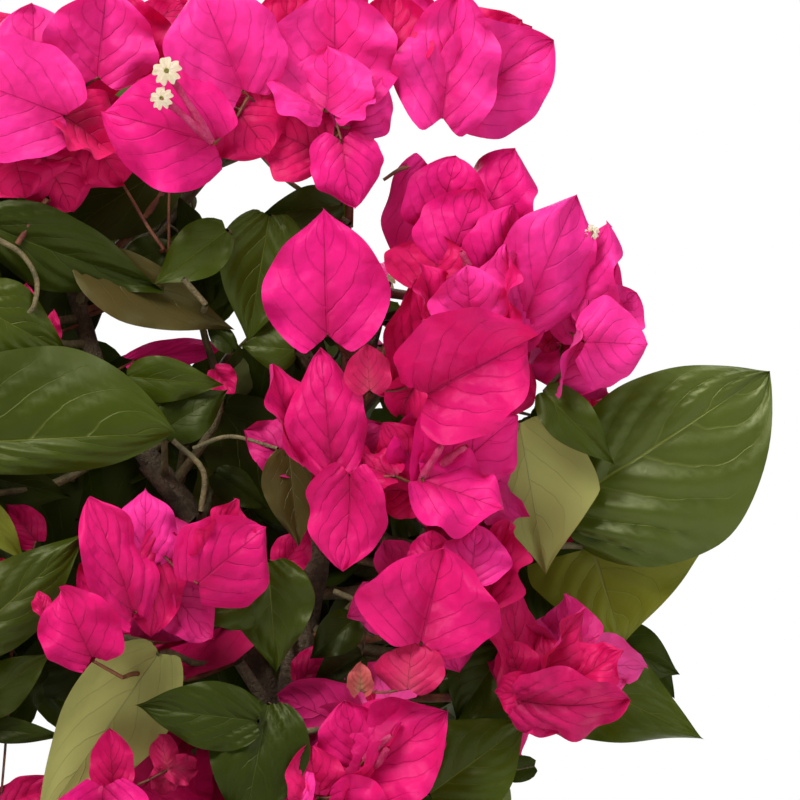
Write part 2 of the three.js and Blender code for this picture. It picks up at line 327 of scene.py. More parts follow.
bractTints = {
    # name: face colour, vein colour (also painted shade near the base and in the pleats' creases), back
    # colour, light let through
    "bractPink": ((0.68, 0.006, 0.178, 1), (0.30, 0.0, 0.035, 1), (0.72, 0.03, 0.24, 1),
                  (0.84, 0.001, 0.09, 1)),
    # the pink made lighter: painted light
    "bractLight": ((0.735, 0.021, 0.245, 1), (0.38, 0.0, 0.06, 1), (0.75, 0.06, 0.30, 1),
                   (0.84, 0.004, 0.14, 1)),
    # the pink made darker: painted half shade
    "bractRich": ((0.60, 0.003, 0.130, 1), (0.26, 0.0, 0.03, 1), (0.66, 0.02, 0.20, 1),
                  (0.78, 0.0, 0.06, 1)),
    # the pink darker still: painted shade
    "bractDeep": ((0.54, 0.002, 0.090, 1), (0.22, 0.0, 0.02, 1), (0.58, 0.015, 0.16, 1),
                  (0.72, 0.0, 0.04, 1)),
    # the pink at its darkest: deep painted shade
    "bractDusky": ((0.44, 0.002, 0.085, 1), (0.19, 0.0, 0.02, 1), (0.50, 0.015, 0.15, 1),
                   (0.60, 0.0, 0.04, 1)),
    "bractYoung": ((0.43, 0.006, 0.070, 1), (0.56, 0.06, 0.12, 1), (0.50, 0.04, 0.12, 1),
                   (0.60, 0.01, 0.05, 1)),
    "bractBud": ((0.44, 0.08, 0.075, 1), (0.36, 0.26, 0.11, 1), (0.40, 0.14, 0.07, 1),
                 (0.45, 0.08, 0.03, 1)),
}


bractLook = {
    "veins": {"Count": 4.2, "Slope": 0.72, "Rib Width": 0.034, "Vein Width": 0.075, "Net Scale": 11.0},
    "mottle": (45.0, 900.0),
    "veinShare": 0.07,      # how much of the vein colour shows in each of these
    "netShare": 0.03,
    # painted shade in the pleats' creases
    "pleatShadeShare": 0.07,
    "ribShare": 0.5,
    # painted shade near the base
    "baseShadeShare": 0.72,
    "surface": {"Roughness": 0.50, "Specular IOR Level": 0.28, "Specular Tint": (1.0, 0.45, 0.80, 1),
                "Sheen Weight": 0.08, "Sheen Roughness": 0.5, "Sheen Tint": (1.0, 0.35, 0.75, 1)},
    "through": 0.17,        # share of the surface that lets light through
}


def makeBractMaterial(name, face, vein, back, through):
    look = bractLook
    material, tree, surface, out = newMaterial(name)
    veins = useGroup(tree, veinNetwork, look["veins"])
    patches = useMottle(tree, *look["mottle"])
    # Besides the veins and rib, this mask paints shade into the pleats' creases and near the base.
    line = times(tree, veins["Veins"], look["veinShare"])
    line = plus(tree, line, times(tree, veins["Net"], look["netShare"]))
    line = sums(tree, "MULTIPLY_ADD", veins["Pleats"], look["pleatShadeShare"], line)
    line = sums(tree, "MAXIMUM", line, times(tree, veins["Rib"], look["ribShare"]))
    line = sums(tree, "MAXIMUM", line, times(tree, veins["BaseShade"], look["baseShadeShare"]), clamp=True)
    lighter = tuple(min(1.0, c * 1.22 + 0.006) for c in face[:3]) + (1,)
    front = blendColour(tree, line, blendColour(tree, patches["Broad"], face, lighter), vein)
    behind = blendColour(tree, times(tree, line, 0.7), back, vein)
    isBack = tree.nodes.new("ShaderNodeNewGeometry").outputs["Backfacing"]
    tree.links.new(blendColour(tree, isBack, front, behind), surface.inputs["Base Color"])
    setInputs(surface, look["surface"])
    place = tree.nodes.new("ShaderNodeTexCoord").outputs["Object"]
    crumpled = addBump(tree, surface, noise(tree, place, 90.0, 2.0), 0.0060, 0.5)
    relief = sums(tree, "MULTIPLY_ADD", patches["Fine"], 0.08, veins["Height"])
    relief = sums(tree, "MULTIPLY_ADD", veins["Pleats"], -1.2, relief)
    addBump(tree, surface, relief, 0.00045, 0.8, crumpled)
    letThrough(tree, surface, out, through, look["through"])
    return material


leafTints = {
    # name: upper face, vein, underside, light let through, roughness, specular level
    # a darker copy of the green, with weaker reflection: painted shade
    "leafDark": ((0.016, 0.024, 0.0015, 1), (0.050, 0.066, 0.012, 1), (0.070, 0.085, 0.025, 1),
                 (0.05, 0.09, 0.003, 1), 0.36, 0.20),
    "leafGreen": ((0.026, 0.039, 0.0012, 1), (0.100, 0.120, 0.016, 1), (0.105, 0.125, 0.036, 1),
                  (0.18, 0.25, 0.008, 1), 0.38, 0.30),
    "leafGlossy": ((0.027, 0.040, 0.0015, 1), (0.100, 0.120, 0.016, 1), (0.105, 0.125, 0.036, 1),
                   (0.18, 0.25, 0.008, 1), 0.38, 0.62),
    "leafOlive": ((0.110, 0.122, 0.008, 1), (0.160, 0.165, 0.040, 1), (0.170, 0.175, 0.050, 1),
                  (0.28, 0.28, 0.012, 1), 0.42, 0.36),
    "leafBronze": ((0.048, 0.036, 0.009, 1), (0.120, 0.095, 0.035, 1), (0.120, 0.100, 0.040, 1),
                   (0.18, 0.13, 0.012, 1), 0.34, 0.30),
    "leafPale": ((0.140, 0.158, 0.048, 1), (0.215, 0.225, 0.090, 1), (0.310, 0.310, 0.095, 1),
                 (0.32, 0.33, 0.05, 1), 0.42, 0.36),
}


leafLook = {
    "veins": {"Count": 4.5, "Slope": 0.60, "Rib Width": 0.026, "Vein Width": 0.055, "Net Scale": 16.0},
    "mottle": (30.0, 700.0),
    "veinShare": 0.38,
    "netShare": 0.01,
    "sheen": (0.94, 1.0, 0.58, 1),
    "dullBack": 0.2,        # how much rougher the underside is
    "through": 0.14,
}


def makeLeafMaterial(name, face, vein, back, through, rough, specular):
    look = leafLook
    material, tree, surface, out = newMaterial(name)
    veins = useGroup(tree, veinNetwork, look["veins"])
    patches = useMottle(tree, *look["mottle"])
    line = times(tree, veins["Veins"], look["veinShare"])
    line = plus(tree, line, times(tree, veins["Net"], look["netShare"]))
    line = sums(tree, "MAXIMUM", line, veins["Rib"], clamp=True)
    front = blendColour(tree, line, blendColour(tree, patches["Broad"], face, scaled(face, 1.45)), vein)
    behind = blendColour(tree, times(tree, line, 0.6), back, vein)
    isBack = tree.nodes.new("ShaderNodeNewGeometry").outputs["Backfacing"]
    tree.links.new(blendColour(tree, isBack, front, behind), surface.inputs["Base Color"])
    dull = sums(tree, "MULTIPLY_ADD", patches["Fine"], 0.10, rough)
    dull = sums(tree, "MULTIPLY_ADD", isBack, look["dullBack"], dull)
    tree.links.new(dull, surface.inputs["Roughness"])
    setInputs(surface, {"Specular IOR Level": specular, "Specular Tint": look["sheen"]})
    relief = sums(tree, "MULTIPLY_ADD", patches["Fine"], 0.06, veins["Height"])
    addBump(tree, surface, relief, 0.0003, 0.7)
    letThrough(tree, surface, out, through, look["through"])
    return material


def makeStemMaterial(name, dark, light, scale, roughness, relief):
    material, tree, surface, out = newMaterial(name)
    patches = useMottle(tree, scale, scale * 9)
    colour = blendColour(tree, patches["Broad"], dark, light)
    colour = blendColour(tree, times(tree, patches["Fine"], 0.4), colour, scaled(dark, 0.4))
    tree.links.new(colour, surface.inputs["Base Color"])
    setInputs(surface, {"Roughness": roughness})
    addBump(tree, surface, patches["Fine"], relief)
    return material


def makePlainMaterial(name, colour, other, scale, roughness, through=None):
    material, tree, surface, out = newMaterial(name)
    patches = useMottle(tree, scale, scale * 8)
    tree.links.new(blendColour(tree, patches["Broad"], colour, other), surface.inputs["Base Color"])
    setInputs(surface, {"Roughness": roughness})
    addBump(tree, surface, patches["Fine"], 0.0002)
    if through:
        letThrough(tree, surface, out, through, 0.25)
    return material


bracts = {name: makeBractMaterial(name, *tints) for name, tints in bractTints.items()}
leaves = {name: makeLeafMaterial(name, *tints) for name, tints in leafTints.items()}
barkMaterial = makeStemMaterial("bark", (0.060, 0.040, 0.020, 1), (0.200, 0.150, 0.090, 1),
                                90.0, 0.85, 0.0008)
twigMaterial = makeStemMaterial("twig", (0.080, 0.070, 0.025, 1), (0.230, 0.180, 0.080, 1),
                                160.0, 0.6, 0.0002)
stalkMaterial = makeStemMaterial("stalk", (0.120, 0.020, 0.012, 1), (0.240, 0.090, 0.030, 1),
                                 200.0, 0.55, 0.0001)
tubeMaterial = makePlainMaterial("flowerTube", (0.56, 0.010, 0.12, 1), (0.70, 0.07, 0.22, 1), 260.0, 0.5,
                                 (0.7, 0.03, 0.14, 1))
petalMaterial = makePlainMaterial("petal", (0.86, 0.80, 0.52, 1), (0.92, 0.88, 0.68, 1), 500.0, 0.55,
                                  (0.9, 0.85, 0.5, 1))
eyeMaterial = makePlainMaterial("flowerEye", (0.28, 0.30, 0.03, 1), (0.45, 0.42, 0.08, 1), 900.0, 0.6)


clayLook = {
    "dark": (0.40, 0.155, 0.075, 1),
    "light": (0.50, 0.215, 0.115, 1),
    "lime": (0.60, 0.40, 0.30, 1),      # pale bloom in patches
    "limeShare": 0.35,
    "speck": (0.30, 0.11, 0.05, 1),
    "speckShare": 0.25,
    "mottle": (14.0, 380.0),
    "surface": {"Roughness": 0.86, "Specular IOR Level": 0.25},
}


def makeClayMaterial():
    look = clayLook
    material, tree, surface, out = newMaterial("clay")
    patches = useMottle(tree, *look["mottle"])
    body = blendColour(tree, patches["Broad"], look["dark"], look["light"])
    place = tree.nodes.new("ShaderNodeTexCoord").outputs["Object"]
    bloomed = ramp(tree, noise(tree, place, 26.0, 6.0, 0.65), 0.52, 0.72)
    body = blendColour(tree, times(tree, bloomed, look["limeShare"]), body, look["lime"])
    body = blendColour(tree, times(tree, patches["Fine"], look["speckShare"]), body, look["speck"])
    tree.links.new(body, surface.inputs["Base Color"])
    setInputs(surface, look["surface"])
    addBump(tree, surface, patches["Fine"], 0.0004)
    return material


clayMaterial = makeClayMaterial()
soilMaterial = makeStemMaterial("soil", (0.016, 0.010, 0.006, 1), (0.060, 0.038, 0.022, 1),
                                120.0, 0.95, 0.0012)
floorMaterial = makePlainMaterial("floorPaint", (0.80, 0.80, 0.79, 1), (0.82, 0.82, 0.81, 1), 3.0, 0.9)
floorTree = floorMaterial.node_tree
floorSurface = next(node for node in floorTree.nodes if node.type == "BSDF_PRINCIPLED")
floorSurface.inputs["Emission Color"].default_value = (1, 1, 1, 1)
floorSeen = floorTree.nodes.new("ShaderNodeLightPath").outputs["Is Camera Ray"]
floorTree.links.new(times(floorTree, floorSeen, 0.42), floorSurface.inputs["Emission Strength"])
floorMesh.materials.append(floorMaterial)
print("materials made")


# Meshes joined from many small parts.

class Bundle:
    # Gathers parts and makes them into one mesh, each face with its part's material.
    def __init__(self, materials):
        self.materials = materials
        self.names = [material.name for material in materials]
        self.points, self.faces, self.uvs, self.slots = [], [], [], []
        self.count = 0

    def add(self, points, faces, uvs, material):
        self.points.append(points)
        self.faces.append(faces + self.count)
        self.uvs.append(uvs)
        self.slots.append(np.full(len(faces), self.names.index(material.name)))
        self.count += len(points)

    def build(self, name):
        points = np.concatenate(self.points)
        faces = np.concatenate(self.faces)
        uvs = np.concatenate(self.uvs)
        mesh = bpy.data.meshes.new(name)
        mesh.vertices.add(len(points))
        mesh.vertices.foreach_set("co", points.astype(np.float32).ravel())
        mesh.loops.add(faces.size)
        mesh.loops.foreach_set("vertex_index", faces.astype(np.int32).ravel())
        mesh.polygons.add(len(faces))
        mesh.polygons.foreach_set("loop_start", np.arange(0, faces.size, faces.shape[1], dtype=np.int32))
        mesh.polygons.foreach_set("material_index", np.concatenate(self.slots).astype(np.int32))
        mesh.uv_layers.new(name="blade").data.foreach_set("uv", uvs[faces.ravel()].astype(np.float32).ravel())
        for material in self.materials:
            mesh.materials.append(material)
        mesh.update(calc_edges=True)
        mesh.validate()
        mesh.polygons.foreach_set("use_smooth", np.ones(len(mesh.polygons), dtype=bool))
        piece = bpy.data.objects.new(name, mesh)
        bpy.context.scene.collection.objects.link(piece)
        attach(piece, "root")
        return piece


def gridFaces(rows, columns):
    corner = (np.arange(rows - 1)[:, None] * columns + np.arange(columns - 1)[None, :]).ravel()
    return np.stack([corner, corner + 1, corner + columns + 1, corner + columns], axis=1)


def unit(vector):
    vector = np.asarray(vector, dtype=float)
    return vector / max(np.linalg.norm(vector), 1e-9)


def turnAbout(vector, axis, angle):
    return (vector * math.cos(angle) + np.cross(axis, vector) * math.sin(angle)
            + axis * np.dot(axis, vector) * (1 - math.cos(angle)))


def middleAndHalf(name):
    # The middle and half the size of a node's box, in millimetres.
    low, high = (np.array(corner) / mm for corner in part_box(name))
    return (low + high) / 2, (high - low) / 2


nodeMiddles = {name: middleAndHalf(name)[0] for name in leafNodes + bloomNodes}


# Where the crown leaves open sky, seen from the front.

def solidsTree():
    points, faces = [], []
    for name, node in cadNodes.items():
        first = len(points)
        points += [node.matrix_world @ corner.co for corner in node.data.vertices]
        faces += [[first + index for index in face.vertices] for face in node.data.polygons]
    return BVHTree.FromPolygons(points, faces)


solids = solidsTree()
window = {"x": (-26, 218), "z": (352, 606), "front": 13}  # where the placed pieces are, millimetres
openings = {
    # name: middle x and z, half the width, half the height, tilt. Millimetres and degrees.
    "aboveLeaves": (46, 543, 13, 9.5, 14),
    "aboveSingle": (68, 547, 4.5, 6.5, -15),
    "betweenTops": (94.5, 568, 3, 12, 8),
    "underTop": (108, 557, 15, 3.5, -4),
    "besideSingle": (87.5, 539, 5, 12, -6),
    "besideSingleLow": (92.5, 521, 4.2, 13, 16),
    "belowLeaves": (23, 500, 19, 5, -8),
    "middleGap": (46.5, 503, 4, 4, 0),
    "rightOfSingle": (88.8, 498.6, 3.2, 3.2, 0),
    "byRightLeaf": (137, 484, 3.4, 2.6, 0),
    "byPaleLeaf": (133, 474.6, 3.2, 3.2, 0),
    "lowLeft": (-17, 373.7, 8, 7, 0),
    "byOliveLeaf": (176, 413, 5, 9, -35),
    "overRightLeaf": (163, 487, 7, 3, 25),
    "belowRightLeaf": (198, 438, 6, 9, -35),
    "overLowRightLeaf": (185, 391, 5, 9, 30),
}
sizeRoom = 0.009  # how far a blade may stand out of the solids' box, metres


def isHit(tree, x, z):
    # Whether a line of sight from the front meets the tree's faces at this place, in millimetres.
    return tree.ray_cast(Vector((x, -1000, z)) * mm, Vector((0, 1, 0)))[0] is not None


def isSky(x, z):
    # Whether open sky shows at this place, in millimetres.
    for midX, midZ, wide, high, tilt in openings.values():
        c, t = math.cos(math.radians(tilt)), math.sin(math.radians(tilt))
        a, b = (x - midX) * c + (z - midZ) * t, (z - midZ) * c - (x - midX) * t
        if (a / wide) ** 2 + (b / high) ** 2 < 1:
            return True
    return not isHit(solids, x, z)


def inWindow(point):
    return window["x"][0] < point[0] < window["x"][1] and window["z"][0] < point[2] < window["z"][1]


def fits(points, front=None, share=0.03):
    # Whether points, in metres, stay in the crown's box, off the sky and behind the placed pieces.
    if np.any(points < np.array(cadBox[0]) - sizeRoom) or np.any(points > np.array(cadBox[1]) + sizeRoom):
        return False
    places = [point / mm for point in points[::2] if inWindow(point / mm)]
    if front is not None and any(place[1] < front for place in places):
        return False
    return sum(isSky(place[0], place[2]) for place in places) <= share * max(len(places), 1)


# One blade: a bract or a leaf.

bractForm = {
    "broadest": 0.37,     # where the blade is widest, from base to tip
    "baseRound": 0.035,   # how wide it is right at the base
    "tipPower": (2.1, 0.74),
    "lobe": 0.14,         # how far the base's two lobes reach back
    "fold": (-2, 38),     # how far the halves fold up from the rib, degrees
    "curl": (-84, 30),    # how far each half then curls, degrees
    "bend": (-52, 26),    # how far the rib bends back along its length, degrees
    "ruffle": 0.105,
    "waver": 0.045,       # how far the margins waver
    "wave": 0.040,
    "pillow": 0.086,
    "crinkle": 0.016,
    "veins": (4.2, 0.72),
    "tipPull": 0.05,
}
leafForm = {
    "broadest": 0.36,
    "baseRound": 0.03,
    "tipPower": (1.7, 1.05),
    "lobe": 0.03,
    "fold": (8, 30),
    "curl": (-46, 12),
    "bend": (-50, 8),
    "ruffle": 0.045,
    "waver": 0.012,
    "wave": 0.030,
    "pillow": 0.078,
    "crinkle": 0.003,
    "veins": (4.5, 0.60),
    "tipPull": 0.05,
}
bladeRelief = {
    # how many waves run along or over a blade
    "waver": ((0.8, 1.6), (2, 3.5)),
    "ruffle": (1.1, 2.7),
    "wave": ((1.1, 1.0), (2.1, 0.5)),    # pitch and strength
    "crinkle": (7.0, 11.0, 17.0),
}
ownShape = ("fold", "curl", "bend", "sides")    # what one blade may have of its own, apart from its form


def bladeOutline(v, form):
    # Half the width at each share of the length, 1 at the broadest place.
    c = form["broadest"]
    low = np.sqrt(np.clip(1 - ((c - v) / (c + form["baseRound"])) ** 2, 0, 1))
    power, sharp = form["tipPower"]
    t = np.clip((v - c) / (1 - c), 0, 1)
    high = np.clip(1 - t ** power, 0, 1) ** sharp
    return np.where(v < c, low, high) * 0.985 + 0.015 * (1 - v)


def swinging(v, pitch, dice):
    return np.sin(2 * math.pi * (dice.uniform(*pitch) * v + dice.random()))


def shapeBlade(length, width, form, dice, rows, columns, fold=None, curl=None, bend=None, sides=(1, 1)):
    def pick(pair):
        return math.radians(dice.uniform(*pair))

    fold = pick(form["fold"]) if fold is None else math.radians(fold)
    bend = pick(form["bend"]) if bend is None else math.radians(bend)
    v = np.linspace(0, 1, rows)[:, None]
    t = np.linspace(-1, 1, columns)[None, :]
    u = np.sign(t) * np.abs(t) ** 1.25
    away = np.abs(u)
    half = bladeOutline(v, form) * width / 2 * np.where(u < 0, sides[0], sides[1])
    for side in (-1, 1):
        slow, quick = (swinging(v, pitch, dice) for pitch in bladeRelief["waver"])
        waver = slow + 0.6 * quick
        half = half * np.where(u * side > 0, 1 + form["waver"] * waver, 1)
    relief = min(length, 1.3 * width)
    heart = 1.35 * away ** 1.1 * np.sqrt(1 - 0.6 * away ** 3)  # the base's edge: out, down and round again
    along = (v + form["tipPull"] * v ** 14) / (1 + form["tipPull"]) - form["lobe"] * heart * (1 - v) ** 4
    across = np.zeros((rows, columns))
    lift = np.zeros((rows, columns))
    for side in (-1, 1):
        turn = pick(form["curl"]) if curl is None else math.radians(curl) * dice.uniform(0.7, 1.3)
        if abs(turn) < 1e-3:
            turn = 1e-3
        start = fold * dice.uniform(0.75, 1.25)
        run = (np.sin(start + turn * away) - math.sin(start)) / turn
        rise = (math.cos(start) - np.cos(start + turn * away)) / turn
        on = u * side >= 0
        # A curled half shows as wide as a flat one.
        spread = min(1.4, 1 / max(np.max(np.where(on, run, 0)), 0.3))
        across = np.where(on, side * run * half * spread, across)
        lift = np.where(on, rise * half * spread, lift)
    count, slope = form["veins"]
    phase = count * (v - slope * away ** 1.2 + np.where(u > 0, 0.06, 0.0))
    ridge = np.abs(np.sin(math.pi * phase))
    towardTip = np.clip(1.15 - v, 0, 1)
    lift = lift + form["pillow"] * relief * (ridge - 0.4) * away ** 0.6 * (1 - away ** 4) * towardTip
    for side in (-1, 1):
        swing = swinging(v, bladeRelief["ruffle"], dice)
        ruffle = form["ruffle"] * relief * away ** 2.6 * swing * dice.uniform(0.6, 1.4)
        lift = lift + np.where(u * side > 0, ruffle, 0)
    for pitch, size in bladeRelief["wave"]:
        crest = pitch * (2.2 * u * dice.uniform(0.5, 1) + 3.4 * v * dice.uniform(0.5, 1))
        lift = lift + form["wave"] * relief * size * np.sin(crest + 6.3 * dice.random())
    for pitch in bladeRelief["crinkle"]:
        angle = dice.uniform(-0.9, 0.9)
        crest = pitch * (u * math.cos(angle) + 1.6 * v * math.sin(angle))
        crease = np.sin(crest + 6.3 * dice.random())
        lift = lift + form["crinkle"] * relief * crease * (6 / pitch) * away ** 0.4
    # The rib's own curve, in the plane of the length and the face.
    fine = np.linspace(-0.4, 1.15, 94)
    lean = bend * np.clip(fine, 0, None) ** 1.2
    step = fine[1] - fine[0]
    ribY = np.concatenate([[0], np.cumsum(np.cos(lean[:-1])) * step])
    ribZ = np.concatenate([[0], np.cumsum(np.sin(lean[:-1])) * step])
    zero = np.interp(0, fine, ribY), np.interp(0, fine, ribZ)
    ribY, ribZ = ribY - zero[0], ribZ - zero[1]
    y = np.interp(along, fine, ribY) * length
    z = np.interp(along, fine, ribZ) * length
    slant = np.interp(along, fine, lean)
    y = y - lift * np.sin(slant)
    z = z + lift * np.cos(slant)
    # Turned and scaled so that the tip comes where it is asked for.
    endY, endZ = np.interp(1.0, fine, ribY) * length, np.interp(1.0, fine, ribZ) * length
    chord, tilt = math.hypot(endY, endZ), math.atan2(endZ, endY)
    y, z = y * math.cos(tilt) + z * math.sin(tilt), z * math.cos(tilt) - y * math.sin(tilt)
    grow = length / chord
    uvs = np.stack(np.broadcast_arrays(u / 2 + 0.5, v), axis=2)
    return np.stack([across, y * grow, z * grow], axis=2).reshape(-1, 3), uvs.reshape(-1, 2)


def placeBlade(bundle, base, tip, facing, width, form, material, dice, rows, columns, test=None, **shape):
    # Adds one blade from base to tip, in metres, unless it fails the test.
    base, tip = np.asarray(base, dtype=float), np.asarray(tip, dtype=float)
    length = np.linalg.norm(tip - base)
    along = unit(tip - base)
    face = unit(facing - along * np.dot(facing, along))
    across = np.cross(along, face)
    points, uvs = shapeBlade(length, width, form, dice, rows, columns, **shape)
    placed = base + points[:, :1] * across + points[:, 1:2] * along + points[:, 2:] * face
    if test is not None and not test(placed):
        return False
    bundle.add(placed, gridFaces(rows, columns), uvs, material)
    return True


# Stems, twigs and stalks.

def smoothPath(points, steps):
    # Points spaced along a smooth curve through the given ones.
    points = np.asarray(points, dtype=float)
    padded = np.concatenate([[2 * points[0] - points[1]], points, [2 * points[-1] - points[-2]]])
    made = []
    for i in range(len(points) - 1):
        p0, p1, p2, p3 = padded[i:i + 4]
        squared = 2 * p0 - 5 * p1 + 4 * p2 - p3
        cubed = 3 * p1 - p0 - 3 * p2 + p3
        for t in np.linspace(0, 1, steps, endpoint=False):
            made.append(0.5 * (2 * p1 + (p2 - p0) * t + squared * t ** 2 + cubed * t ** 3))
    made.append(points[-1])
    return np.array(made)


def addTube(bundle, path, radii, sides, material, relief=None):
    # A closed tube along the path. relief gives a share to add to the radius at (length, turn).
    path = np.asarray(path, dtype=float)
    radii = np.broadcast_to(np.asarray(radii, dtype=float), (len(path),)).copy()
    ways = np.gradient(path, axis=0)
    ways = ways / np.maximum(np.linalg.norm(ways, axis=1, keepdims=True), 1e-9)
    aside = unit(np.cross(ways[0], (0.31, 0.87, 0.38)))
    lengths = np.concatenate([[0], np.cumsum(np.linalg.norm(np.diff(path, axis=0), axis=1))])
    turns = np.linspace(0, 2 * math.pi, sides, endpoint=False)
    rings, uvs = [], []
    for place, way, radius, length in zip(path, ways, radii, lengths):
        aside = unit(aside - way * np.dot(aside, way))
        other = np.cross(way, aside)
        reach = radius * (1 + (relief(length, turns) if relief else 0 * turns))
        outward = np.cos(turns)[:, None] * aside + np.sin(turns)[:, None] * other
        rings.append(place + reach[:, None] * outward)
        uvs.append(np.stack([turns / (2 * math.pi), np.full(sides, length * 20)], axis=1))
    points = np.concatenate(rings + [path[:1], path[-1:]])
    uvs = np.concatenate(uvs + [np.zeros((2, 2))])
    ring = np.arange(sides)
    after = (ring + 1) % sides
    last = (len(path) - 1) * sides
    faces = []
    for first in range(0, last, sides):
        upper = first + sides
        faces.append(np.stack([ring + first, after + first, after + upper, ring + upper], axis=1))
    foot = np.full(sides, last + sides)
    end = foot + 1
    faces.append(np.stack([after, ring, foot, foot], axis=1))
    faces.append(np.stack([ring + last, after + last, end, end], axis=1))
    bundle.add(points, np.concatenate(faces), uvs, material)


# Trunk and stems.

soilLevel = 132
fork = (2, 2, 184)
stemPaths = {
    # name: the points from the fork to the tip, then the radius at both ends, millimetres
    "stem_right": ([(34, 4, 256), (55, 6, 330), (62, 6, 384), (67, 4, 414), (73, 4, 444), (90, 14, 516)],
                   (7, 3)),
    "stem_middle": ([(13, 8, 262), (46, 12, 345), (56, 8, 384), (46, 8, 412), (33, 8, 444), (8, 10, 480),
                     (-3, 12, 514)], (6, 2.6)),
    "stem_left": ([(-42, 4, 256), (-84, 8, 335), (-108, 10, 420), (-112, 10, 492)], (7, 3)),
    "stem_back": ([(-2, 34, 262), (4, 52, 350), (2, 54, 392), (-10, 52, 440), (-16, 44, 500)], (6, 2.8)),
}
stemGrid = (22, 20)    # steps between two points, and points round the stem
trunkShape = {
    "radii": (13, 9.5),     # at the soil and at the fork, millimetres
    "flare": 0.55,          # how much the foot spreads
    "closes": (0.75, 0.5),  # from which share of its height, and how much, it closes in between the stems
    "roots": (0.13, 40),    # how far the five root swellings stand out, and how high they reach
    "bark": 0.7,            # its bark's relief beside that of the stems
    "grid": (40, 40),
}
bark = {"ridges": 7, "depth": 0.07, "rings": 0.05, "ringPitch": 26, "seed": 5}


def barkRelief(seed):
    dice = random.Random(seed)
    waves = [(dice.randint(2, bark["ridges"]), dice.uniform(0.02, 0.16), dice.uniform(0, 6.3))
             for _ in range(6)]

    def relief(length, turns):
        length = length / mm
        lines = sum(np.sin(count * turns + pitch * length + start) for count, pitch, start in waves) / 6
        node = math.exp(-((length % bark["ringPitch"] - 6) / 2.2) ** 2)
        return bark["depth"] * 2 * lines + bark["rings"] * node * 2
    return relief


stemRoutes = []
for index, (name, (through, (lowRadius, highRadius))) in enumerate(stemPaths.items()):
    route = smoothPath([(fork[0], fork[1], fork[2] - 12)] + through, stemGrid[0])
    stemRoutes.append(route)
    bundle = Bundle([barkMaterial])
    up = np.linspace(0, 1, len(route))
    radii = (lowRadius + (highRadius - lowRadius) * up) * mm
    addTube(bundle, route * mm, radii, stemGrid[1], barkMaterial, barkRelief(bark["seed"] + index))
    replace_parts(bundle.build("bark_" + name), name)

trunkBark = barkRelief(bark["seed"] + 9)


def trunkRelief(length, turns):
    deep, high = trunkShape["roots"]
    return (trunkBark(length, turns) * trunkShape["bark"]
            + deep * max(0, 1 - length / mm / high) ** 2 * np.cos(5 * turns))


bundle = Bundle([barkMaterial])
up = np.linspace(0, 1, trunkShape["grid"][0])
rise = soilLevel + 0.3 + up * (fork[2] - soilLevel)
route = np.stack([fork[0] * up ** 2, fork[1] * up ** 2, rise], axis=1)
(lowRadius, highRadius), (closesFrom, closesBy) = trunkShape["radii"], trunkShape["closes"]
girth = (lowRadius + (highRadius - lowRadius) * up) * (1 + trunkShape["flare"] * (1 - up) ** 3)
girth *= 1 - closesBy * np.clip((up - closesFrom) / (1 - closesFrom), 0, 1) ** 2
addTube(bundle, route * mm, girth * mm, trunkShape["grid"][1], barkMaterial, trunkRelief)
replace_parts(bundle.build("bark_trunk"), "trunk")
allStemPoints = np.concatenate(stemRoutes)
print("trunk and stems made")


# Pot and soil.

potShape = {
    # radius and height down the outside, over the rim and down the inside, millimetres
    "profile": [(0, 0), (52, 0), (60, 0.6), (62, 2.6), (62.9, 6), (74, 70), (83.2, 119), (83.4, 121.4),
                (88, 122), (89.6, 123.4), (90.2, 125.6), (93.2, 145.5), (93.4, 148), (92.2, 149.6), (90, 150),
                (84, 150), (82, 149.2), (81, 147), (80, 140), (56, 12), (54, 9.6), (50, 9), (0, 9)],
    "around": 112,
    "uneven": 0.30,
}


def turned(bundle, profile, around, material, shift):
    profile = np.array(profile, dtype=float)
    lengths = np.concatenate([[0], np.cumsum(np.linalg.norm(np.diff(profile, axis=0), axis=1))])
    stops = [np.linspace(a, b, max(2, int((b - a) / 5) + 1), endpoint=False)
             for a, b in zip(lengths, lengths[1:])]
    where = np.concatenate(stops + [lengths[-1:]])
    radius = np.interp(where, lengths, profile[:, 0])[:, None]
    height = np.interp(where, lengths, profile[:, 1])[:, None]
    turn = np.linspace(0, 2 * math.pi, around + 1)[None, :]
    proud = shift(turn, height)
    reach = radius + proud
    points = np.stack([reach * np.cos(turn), reach * np.sin(turn), height + 0 * turn], axis=2)
    isCentre = radius[:, 0] < 0.01
    points[isCentre] = (0, 0, height[isCentre][0, 0])    # every centre lies at the height of the first
    uvs = np.stack([turn / fullTurn + 0 * height, height / 150 + 0 * turn], axis=2)
    rows, columns = points.shape[:2]
    bundle.add(points.reshape(-1, 3) * mm, gridFaces(rows, columns), uvs.reshape(-1, 2), material)


def potSwell(turn, height):
    swell = 0.6 * np.sin(2 * turn + 0.02 * height) + 0.4 * np.sin(5 * turn + 0.05 * height)
    return potShape["uneven"] * swell * (height > 8)


bundle = Bundle([clayMaterial])
turned(bundle, potShape["profile"], potShape["around"], clayMaterial, potSwell)
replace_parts(bundle.build("clay_pot"), "pot")

soilShape = {
    "radius": 79.4,         # where it meets the pot's wall, millimetres
    "fall": 4,              # how far it falls from the middle to the wall
    "uneven": 1.1,
    "waves": ((0.21, 5, 0.3), (0.33, -8, 1.9), (0.5, 13, 4.1), (0.74, -17, 2.2)),  # out, round and start
    "grid": (46, 120),      # rings, and points round each
    "crumbs": 420,
    "crumb": (0.9, 3.4),
    "crumbReach": 76,
    "seed": 31,
}


def soilHeight(radius, turn):
    waves = soilShape["waves"]
    rough = sum(np.sin(radius * a + b * turn + c) for a, b, c in waves) / len(waves)
    fall = soilShape["fall"] * np.clip(radius / soilShape["radius"], 0, 1) ** 1.6
    return soilLevel - fall + soilShape["uneven"] * rough * (radius > 2) - 0.8


